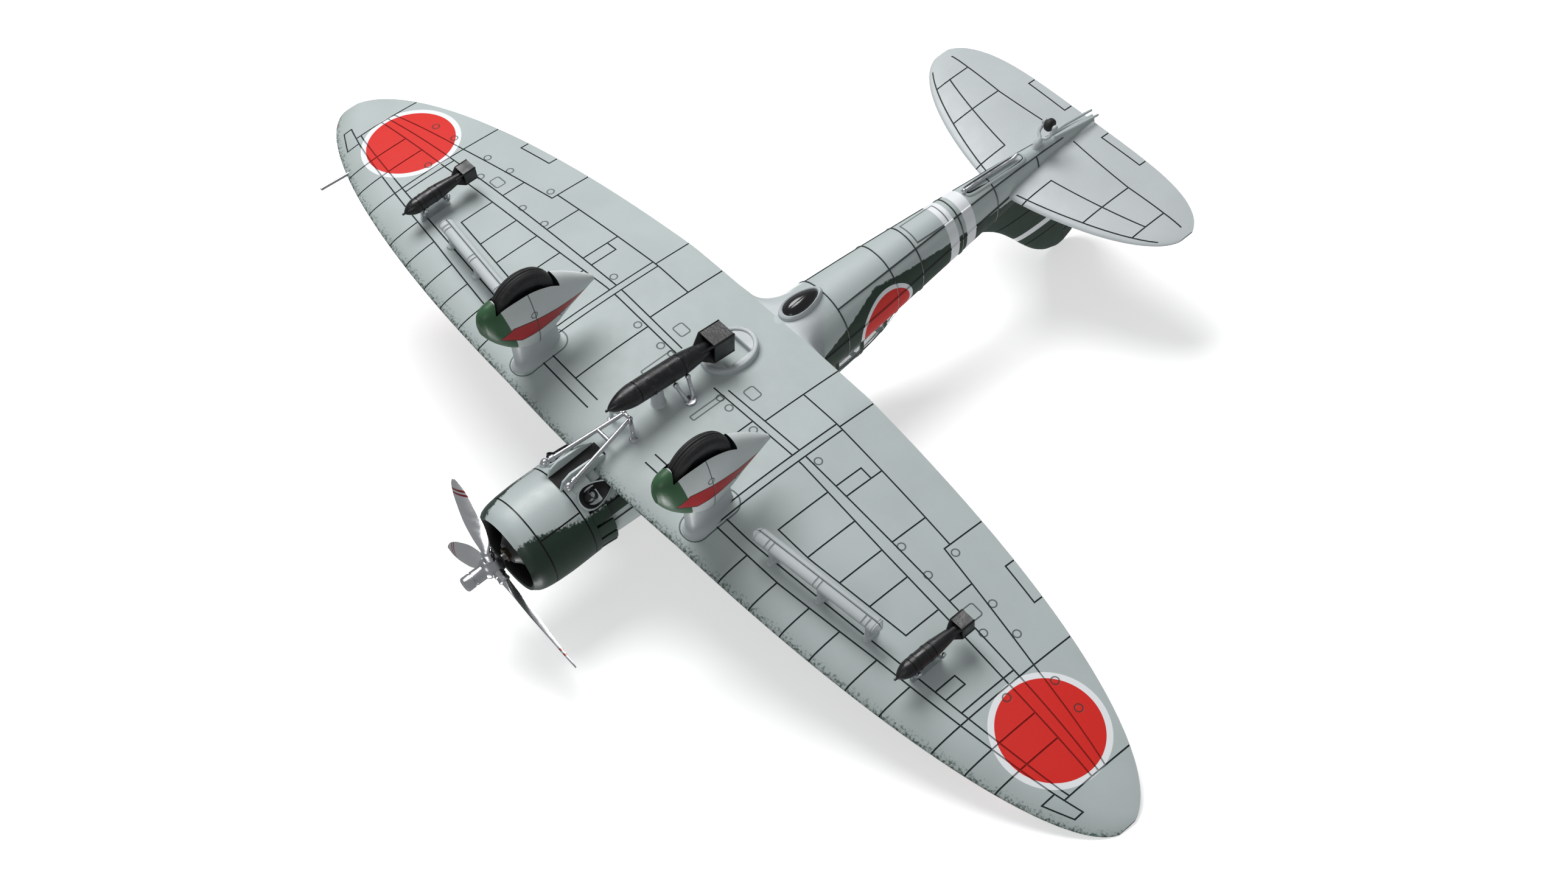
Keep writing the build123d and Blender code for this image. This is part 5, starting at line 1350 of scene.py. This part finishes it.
bomb_axis = (BOMB_TAIL - BOMB_NOSE) / np.linalg.norm(BOMB_TAIL - BOMB_NOSE)
bomb_length = float(np.linalg.norm(BOMB_TAIL - BOMB_NOSE))
casing = turned(bomb_profile(1.95, 5.9, 9.2, bomb_length - 0.6, 0.7, 0.22), bomb_skin, BOMB_NOSE,
                BOMB_NOSE + bomb_axis, 44)
lug = [ball(BOMB_NOSE + bomb_axis * at + np.array((side * 1.9, 0, 0.25)), 0.3, bomb_skin) for at in (8.6,
                                                                                                     12.4)
       for side in (-1, 1)]
piece("bomb_body", [casing] + lug, replaced=["bomb_casing"])
piece("bomb_tail_fins", fin_box(BOMB_NOSE, bomb_axis, (1, 0, 0), 2.05, 0.35, 7.6, bomb_length),
      replaced=["bomb_fins"])
piece("bomb_post", [turned([(1.5, 0), (1.5, 0.3), (1.25, 0.55), (1.15, 0.9), (1.15, 4.2), (1.25, 4.5),
                            (1.25, 5.2)],
                           grey_part, (0, -29.2, -9.2), (0, -29.2, -10.2), 32)],
      replaced=["bomb_pylon"])


def stay_parts(side):
    """V-shaped stay: a pad on the belly with two bolts and two bent arms that hold the bomb."""
    parts = []
    pad = turned([(0.2, -0.1), (1.0, 0), (1.05, 0.15), (1.05, 0.5), (0.95, 0.62), (0.3, 0.66)], silver_part,
                 (side * 3.4, -25.3, -9.35), (side * 3.4, -25.3, -10.35), 24)
    parts.append(pad)
    for run in (-1, 1):
        foot = np.array((side * 3.4, -25.3 + run * 0.35, -9.7))
        top = np.array((side * 1.95, -25.3 + run * 1.25, -13.6))
        bend = foot + (top - foot) * 0.25 + (side * 0.25, run * 0.15, 0)
        parts.append(tube([foot, bend, (bend + top) / 2, top], 0.36, silver_part))
        parts.append(ball(top, 0.48, silver_part))
    return parts


piece("bomb_stays", stay_parts(1) + stay_parts(-1), replaced=["bomb_rear_braces"])


def crutch_parts():
    """Swing crutch: two rods with knobbed ends that meet under the bomb's nose, a cross bar, and two feet."""
    parts = []
    for side in (-1, 1):
        knob = np.array((side * 3.1, -50.0, -10.3))
        head = np.array((side * 0.75, -35.4, -11.9))
        path = [knob + (head - knob) * t for t in np.linspace(0, 1, 9)]
        parts += [tube(path, 0.38, silver_part), ball(knob, 0.72, silver_part, (1, 1.15, 1)),
                  turned([(0.36, 0), (0.56, 0.1), (0.56, 0.7), (0.38, 0.85)], silver_part,
                         knob + (head - knob) * 0.06,
                         knob + (head - knob) * 0.12, 20)]
        foot, shoulder = np.array((side * 2.8, -36.7, -9.2)), np.array((side * 2.75, -36.5, -11.3))
        knee = np.array((side * 2.2, -36.2, -11.75))
        parts.append(tube([foot, (foot + shoulder) / 2, shoulder, knee, (knee + head) / 2, head], 0.37,
                          silver_part))
        parts.append(turned([(0.3, 0), (0.72, 0.05), (0.72, 0.35), (0.4, 0.5)], silver_part,
                            (side * 2.8, -36.7, -9.2),
                            (side * 2.8, -36.7, -10.2), 22))
        parts.append(ball(head, 0.5, silver_part))
    bar = np.array((1.54, -40.3, -11.36))
    parts.append(tube([bar * (-1, 1, 1), bar * (-0.3, 1, 1), bar * (0.3, 1, 1), bar], 0.34, silver_part))
    parts.append(tube([(-0.75, -35.4, -11.9), (0, -35.4, -11.95), (0.75, -35.4, -11.9)], 0.36, silver_part))
    return parts


piece("swing_crutch", crutch_parts(), replaced=["bomb_crutch"])

# ---- dive brakes and small bombs ------------------------------------------------------------------
BRAKE_INNER, BRAKE_OUTER = np.array((31.0, -35.0, -12.6)), np.array((55.65, -31.6, -9.5))


def brake_parts():
    """Slat: a rounded bar with a long groove, notches at its fittings and rounded end caps."""
    run = BRAKE_OUTER - BRAKE_INNER
    length = float(np.linalg.norm(run))
    run /= length
    wide = np.array([0, 1, 0]) - run * run[1]
    wide /= np.linalg.norm(wide)
    thick = np.cross(run, wide)
    angle = np.linspace(0, 2 * np.pi, 60, endpoint=False)
    shape_x = 1.35 * np.sign(np.cos(angle)) * np.abs(np.cos(angle)) ** 0.8
    shape_z = 0.75 * np.sign(np.sin(angle)) * np.abs(np.sin(angle)) ** 0.8
    groove = 0.22 * np.exp(-((shape_x - 0.35) / 0.13) ** 2)
    notches = [0.12, 0.155, 0.505, 0.54, 0.885, 0.92]
    along = spread(np.linspace(0, length, 26), [n * length for n in notches] + [0.9, length - 0.9], 0.16)
    rows = []
    for at in along:
        end = min(at, length - at)
        round_off = np.sqrt(np.clip(1 - ((0.35 - end) / 0.35) ** 2, 0.15, 1)) if end < 0.35 else 1.0
        notch = min(abs(at - n * length) for n in notches) < 0.1
        seam = abs(end - 0.9) < 0.1
        pull = np.where((shape_x < 0.1) & (np.abs(shape_z) > 0.3), 0.25 * notch, 0) + 0.1 * seam
        size_x = shape_x * (round_off - 0.08 * seam)
        size_z = (np.abs(shape_z) - groove * (end > 0.9) - pull) * np.sign(shape_z) * round_off
        rows.append(BRAKE_INNER + at * run + size_x[:, None] * wide + size_z[:, None] * thick)
    slat = surface(np.array(rows), grey_part, flip=True)
    grooved = np.abs(shape_x - 0.35) < 0.16
    cut_in = grooved & np.roll(grooved, -1)
    index = [int(dark) for dark in np.tile(cut_in, len(along) - 1)] + [0, 0]
    slat = slat[0], slat[1], [grey_part, grey_wash], index
    struts = []
    for share in (0.14, 0.53, 0.91):
        top = BRAKE_INNER + (BRAKE_OUTER - BRAKE_INNER) * share
        chord = trailing(top[0]) - leading(top[0])
        foot_z = float(wing_surface(-1, LOWER_DEPTH)(top[0], (top[1] - leading(top[0])) / chord)[2])
        rows = []
        angle = np.linspace(0, 2 * np.pi, 20, endpoint=False)
        levels = [(foot_z + 0.5, 0.72, 1.5), (foot_z - 0.15, 0.72, 1.5), (foot_z - 0.4, 0.62, 1.35),
                  (foot_z - 0.5, 0.46, 0.9), (top[2] + 0.9, 0.44, 0.8), (top[2] + 0.5, 0.5, 0.95),
                  (top[2] + 0.1, 0.5, 0.95)]
        for z, half_x, half_y in levels:
            across = np.sign(np.cos(angle)) * np.abs(np.cos(angle)) ** 0.6
            length_way = np.sign(np.sin(angle)) * np.abs(np.sin(angle)) ** 0.6
            rows.append(np.stack([top[0] + half_x * across, top[1] + half_y * length_way, np.full(20, z)],
                                 -1))
        struts.append(surface(np.array(rows), grey_part))
    return slat, struts


def small_bomb_parts():
    """Small bomb: a fuse, a banded body, a tail cone and four joined fins."""
    nose = np.array((WING_BOMB_X, -35.6, -8.4))
    body = turned(bomb_profile(1.4, 3.2, 4.4, 14.8, 0.5, 0.2), bomb_skin, nose, nose + (0, 1, 0), 36)
    bands = [turned([(1.38, 0), (1.47, 0.05), (1.47, 0.35), (1.38, 0.4)], bomb_skin, nose + (0, at, 0),
                    nose + (0, at + 1, 0), 36) for at in (4.3, 6.4)]
    return [body] + bands + fin_box(nose, (0, 1, 0), (1, 0, 0), 1.35, 0.3, 4.6, 15.2)


def rack_parts():
    """Rack over a small bomb: a rounded beam on the wing and four curved stays."""
    angle = np.linspace(0, 2 * np.pi, 20, endpoint=False)
    across = np.sign(np.cos(angle)) * np.abs(np.cos(angle)) ** 0.5
    along = np.sign(np.sin(angle)) * np.abs(np.sin(angle)) ** 0.5
    beam = surface(np.array([np.stack([WING_BOMB_X + w * across, RACK_Y + l * along, np.full(20, z)],
                                      -1) for z, w, l in
                             ((-3.2, 0.55, 3.1), (-4.6, 0.55, 3.1), (-5.0, 0.45, 2.95), (-6.9, 0.42, 2.8),
                              (-7.1, 0.34, 2.7))]),
                   silver_part)
    parts = [beam]
    for run in (-1, 1):
        for side in (-1, 1):
            y = RACK_Y + run * 2.45
            parts.append(tube([(WING_BOMB_X, y, -5.5), (WING_BOMB_X + side * 0.8, y, -5.8),
                               (WING_BOMB_X + side * 1.35, y, -6.6),
                               (WING_BOMB_X + side * 1.55, y, -7.5)], 0.27, silver_part, 10))
            parts.append(ball((WING_BOMB_X + side * 1.55, y, -7.55), 0.36, silver_part))
    return parts


slat_part, strut_parts = brake_parts()
for side_name, sign in (("port", 1), ("starboard", -1)):
    way = (lambda part: part) if sign > 0 else mirrored
    piece(f"brake_slat_{side_name}", [way(slat_part)], replaced=[f"dive_brake_{side_name}"])
    piece(f"brake_posts_{side_name}", [way(part) for part in strut_parts],
          replaced=[f"brake_struts_{side_name}"])
    piece(f"wing_bomb_{side_name}", [way(part) for part in small_bomb_parts()],
          replaced=[f"small_bomb_{side_name}"])
    piece(f"wing_rack_{side_name}", [way(part) for part in rack_parts()], replaced=[f"bomb_rack_{side_name}"])

# ---- socket, window, hook and small fittings ------------------------------------------------------
def socket_part():
    """Oval pad on the belly with a rounded rim and a square slot sunk into it."""
    angle = np.linspace(0, 2 * np.pi, 96, endpoint=False)
    oval = lambda size: np.stack([4.2 * size * np.cos(angle), SOCKET_Y + 5.3 * size * np.sin(angle)], -1)
    tall = np.maximum(np.abs(np.cos(angle)), np.abs(np.sin(angle)))
    square = lambda half: np.stack([half * np.cos(angle) / tall, SOCKET_Y + half * np.sin(angle) / tall], -1)
    levels = [(oval(1.0), -8.4), (oval(1.0), -9.75), (oval(0.985), -9.95), (oval(0.95), -10.05),
              (oval(0.88), -10.05),
              (oval(0.84), -9.95), (oval(0.82), -9.75), (square(2.75), -9.72), (square(2.6), -9.6),
              (square(2.6), -4.85)]
    grid = np.array([np.concatenate([flat, np.full((96, 1), z)], 1) for flat, z in levels])
    return surface(grid, grey_part)


piece("socket_pad", [socket_part()], replaced=["stand_socket"])


def window_parts():
    """Teardrop rim raised on the belly, with a black domed pane inside it."""
    angle = np.linspace(0, 2 * np.pi, 64, endpoint=False)
    def drop(size, z, shift=0.0):
        taper = 1 - 0.28 * np.sin(angle)
        return np.stack([1.95 * size * np.cos(angle) * taper ** 0.8, 1.4 + shift + 4.1 * size * np.sin(angle),
                         np.full(64, z)], -1)
    rim = surface(np.array([drop(1.12, -6.6), drop(1.12, -7.9), drop(1.08, -8.4), drop(1.0, -8.6),
                            drop(0.92, -8.5),
                            drop(0.88, -8.2), drop(0.84, -7.7)]), grey_part)
    share = np.linspace(0, 1, 12)[1:]
    levels = [drop(0.9 * np.sqrt(1 - (t * 0.97) ** 2) + 0.001, -7.9 - 1.35 * t * 0.97) for t in share]
    pane = surface(np.array([drop(0.9, -7.4), drop(0.9, -7.9)] + levels), gloss_black)
    bead = tube([(0, -1.9, -8.35), (0, -0.8, -9.0), (0, 1.0, -9.27), (0, 3.0, -9.02), (0, 4.4, -8.5)], 0.12,
                gloss_black, 8)
    return rim, [pane, bead]


rim_part, pane_parts = window_parts()
piece("window_rim", [rim_part], replaced=["ventral_window_frame"])
piece("window_pane", pane_parts, replaced=["ventral_window"])


def hook_parts():
    """Arrestor hook: a tapered rod in its slot, with an eye in front and a bent hook at the back."""
    path = [(0, 38.8, -5.75), (0, 42, -5.55), (0, 47, -5.1), (0, 50.2, -4.75), (0, 51.0, -4.85),
            (0, 51.5, -5.1)]
    return [tube(path, [0.4, 0.32, 0.3, 0.34, 0.36, 0.28], silver_part),
            ball((0, 38.9, -5.75), 0.5, silver_part)]


piece("arrestor_rod", hook_parts(), replaced=["arrestor_hook"])


def hook_bay_parts():
    """Raised rounded frame round the hook, black inside, and two thin ribs under the tail cone behind it."""
    angle = np.linspace(0, 2 * np.pi, 72, endpoint=False)
    across = HOOK_BAY_HALF_WIDTH * np.sign(np.cos(angle)) * np.abs(np.cos(angle)) ** 0.35
    along = HOOK_BAY_HALF_LENGTH * np.sign(np.sin(angle)) * np.abs(np.sin(angle)) ** 0.35
    loops = []
    for wider, drop in ((0.22, 0.5), (0.22, -0.2), (0.12, -0.3), (-0.05, -0.3), (-0.12, -0.2),
                        (-0.14, -0.08)):
        x, y = across * (1 + wider), HOOK_BAY_Y + along * (1 + wider / 6)
        values = smooth_between(FUSELAGE, y)
        keel = hull_underside(values, np.clip(np.abs(x) / values[:, 0], 0, 1))
        loops.append(np.stack([x, y, keel + drop], -1))
    points, faces, _, _ = surface(np.array(loops), fuselage_skin)
    index = [0] * (len(faces) - 1) + [1]
    frame_part = points, faces, [fuselage_skin, dark_pit], index
    ribs = [tube([(side * 0.45, 60.5, -3.1), (side * 0.7, 64.0, -2.5), (side * 0.8, 68.0, -1.6),
                  (side * 0.8, 71.0, -0.9)], [0.2, 0.3, 0.3, 0.22], fuselage_skin) for side in (-1, 1)]
    return [frame_part] + ribs


piece("hook_bay", hook_bay_parts())


def fork_parts():
    """Tail wheel leg: a stout sloping post, a yoke and two fork arms with round bosses."""
    post = turned([(0.7, 0), (0.62, 0.6), (0.6, 1.6), (0.72, 1.9), (0.72, 2.4), (0.55, 3.0), (0.5, 3.5)],
                  grey_part,
                  (0, 55.0, -2.6), (0, 57.7, -5.0), 24)
    parts = [post]
    for side in (-1, 1):
        x = side * 1.2
        parts.append(tube([(side * 0.3, 57.5, -4.9), (side * 0.9, 57.8, -5.0), (x, 58.3, -5.3),
                           (x, 59.0, -5.95),
                           (x, 59.6, -6.5)], 0.33, grey_part))
        parts.append(turned([(0.35, 0), (0.56, 0.08), (0.6, 0.2), (0.6, 0.46), (0.5, 0.6), (0.2, 0.62)],
                            grey_part,
                            (x - side * 0.3, 59.6, -6.5), (x + side * 0.7, 59.6, -6.5), 22))
    return parts


piece("tail_wheel_fork", fork_parts(), replaced=["tail_wheel_leg"])

NODE_FINISHES = {
    "engine_bulkhead": black_part, "shaft_bush": worn_brass, "prop_shaft": steel_part,
    "shaft_collar": steel_part,
    "cockpit_tub": cabin_green, "crew_seats": cabin_green, "rear_gun": black_part, "gun_sight": black_part,
    "antenna_mast": green_wing, "pitot_tube": silver_part, "nav_light_port": red_lamp,
    "nav_light_starboard": green_lamp, "tail_wheel_axle": steel_part, "tail_wheel": rubber,
    "axle_port": steel_part, "axle_starboard": steel_part, "wheel_hub_port": black_part,
    "wheel_hub_starboard": black_part}
for name, finish in NODE_FINISHES.items():
    nodes[name].data.materials.clear()
    nodes[name].data.materials.append(finish)


# ---- stage, light and camera ----------------------------------------------------------------------
def one_sided(name, center, normal, size, glow):
    """A pale floor that only a view from the side its normal points to sees; light passes through it."""
    center, normal = Vector(to_row(center)), Vector(to_row(normal) - to_row((0, 0, 0))).normalized()
    turn = normal.to_track_quat("Z", "Y").to_matrix().to_4x4()
    mesh = bpy.data.meshes.new(name)
    count = 24
    line = np.linspace(-size, size, count + 1)
    points = [(x, y, 0.0) for x in line for y in line]
    mesh.from_pydata(points, [], grid_faces(count + 1, count + 1, flip=False))
    mesh.transform(Matrix.Translation(center) @ turn)
    if mesh.polygons[0].normal.dot(normal) < 0:
        mesh.flip_normals()
    material = bpy.data.materials.new(name)
    material.use_nodes = True
    tree = material.node_tree
    tree.nodes.clear()
    add = lambda kind: tree.nodes.new(kind)
    output = add("ShaderNodeOutputMaterial")
    front, back = add("ShaderNodeBsdfDiffuse"), add("ShaderNodeBsdfTransparent")
    light, path, both = add("ShaderNodeEmission"), add("ShaderNodeLightPath"), add("ShaderNodeAddShader")
    choose, facing, seen = add("ShaderNodeMixShader"), add("ShaderNodeNewGeometry"), add("ShaderNodeMath")
    front.inputs[0].default_value = (0.8, 0.8, 0.8, 1)
    light.inputs["Strength"].default_value = glow
    seen.operation = "SUBTRACT"
    seen.use_clamp = True
    tree.links.new(path.outputs["Is Camera Ray"], seen.inputs[0])
    tree.links.new(facing.outputs["Backfacing"], seen.inputs[1])
    tree.links.new(front.outputs[0], both.inputs[0])
    tree.links.new(light.outputs[0], both.inputs[1])
    tree.links.new(seen.outputs[0], choose.inputs[0])
    tree.links.new(back.outputs[0], choose.inputs[1])
    tree.links.new(both.outputs[0], choose.inputs[2])
    tree.links.new(choose.outputs[0], output.inputs[0])
    mesh.materials.append(material)
    made = bpy.data.objects.new(name, mesh)
    bpy.context.scene.collection.objects.link(made)


one_sided("table_top", (0, 63.0, 28.9), (0.188, 0.084, -0.979), 2.5, 0.52)
one_sided("stand_floor", (0, -37.4, -29.76), (0, -0.220903, 0.975296), 2.5, 0.35)


def soft_light(name, place, target, size, power):
    lamp = bpy.data.lights.new(name, "AREA")
    lamp.shape, lamp.size, lamp.energy = "DISK", size, power
    made = bpy.data.objects.new(name, lamp)
    made.location = Vector(to_row(place))
    made.rotation_euler = (Vector(to_row(target)) - made.location).to_track_quat("-Z", "Y").to_euler()
    bpy.context.scene.collection.objects.link(made)


soft_light("key", (344, 102, -541), (0, 0, 0), 0.42, 3.7)
soft_light("nose_fill", (-260, -420, -330), (0, -40, 0), 0.3, 0.35)
soft_light("rest_key", (-320, -420, 620), (0, 0, 0), 0.4, 3.4)
soft_light("rest_fill", (420, 380, 420), (0, 0, 0), 0.4, 2.0)

world = bpy.data.worlds.new("studio")
world.use_nodes = True
sky, watched = world.node_tree.nodes["Background"], world.node_tree.nodes.new("ShaderNodeLightPath")
level = world.node_tree.nodes.new("ShaderNodeMapRange")
level.inputs["To Min"].default_value, level.inputs["To Max"].default_value = 0.3, 1.0
world.node_tree.links.new(watched.outputs["Is Camera Ray"], level.inputs["Value"])
world.node_tree.links.new(level.outputs[0], sky.inputs["Strength"])
sky.inputs[0].default_value = (0.96, 0.98, 1.0, 1)
bpy.context.scene.world = world
bpy.context.scene.view_settings.view_transform = "Standard"

CAMERA_PLACE = np.array((-187.2516, -138.1314, -306.4790))
CAMERA_FORWARD = np.array((0.463958, 0.328556, 0.822675))
CAMERA_UP = np.array((0.594195, 0.573356, -0.564088))
lens = bpy.data.cameras.new("camera")
lens.sensor_width, lens.lens = 36.0, 52.21
lens.clip_start, lens.clip_end = 0.01, 20.0
camera = bpy.data.objects.new("camera", lens)
direction = lambda vector: Vector(to_row(vector) - to_row((0, 0, 0))).normalized()
back_way, up_way = -direction(CAMERA_FORWARD), direction(CAMERA_UP)
right_way = up_way.cross(back_way).normalized()
up_way = back_way.cross(right_way)
turn = Matrix((right_way, up_way, back_way)).transposed().to_4x4()
camera.matrix_world = Matrix.Translation(Vector(to_row(CAMERA_PLACE))) @ turn
bpy.context.scene.collection.objects.link(camera)
bpy.context.scene.camera = camera
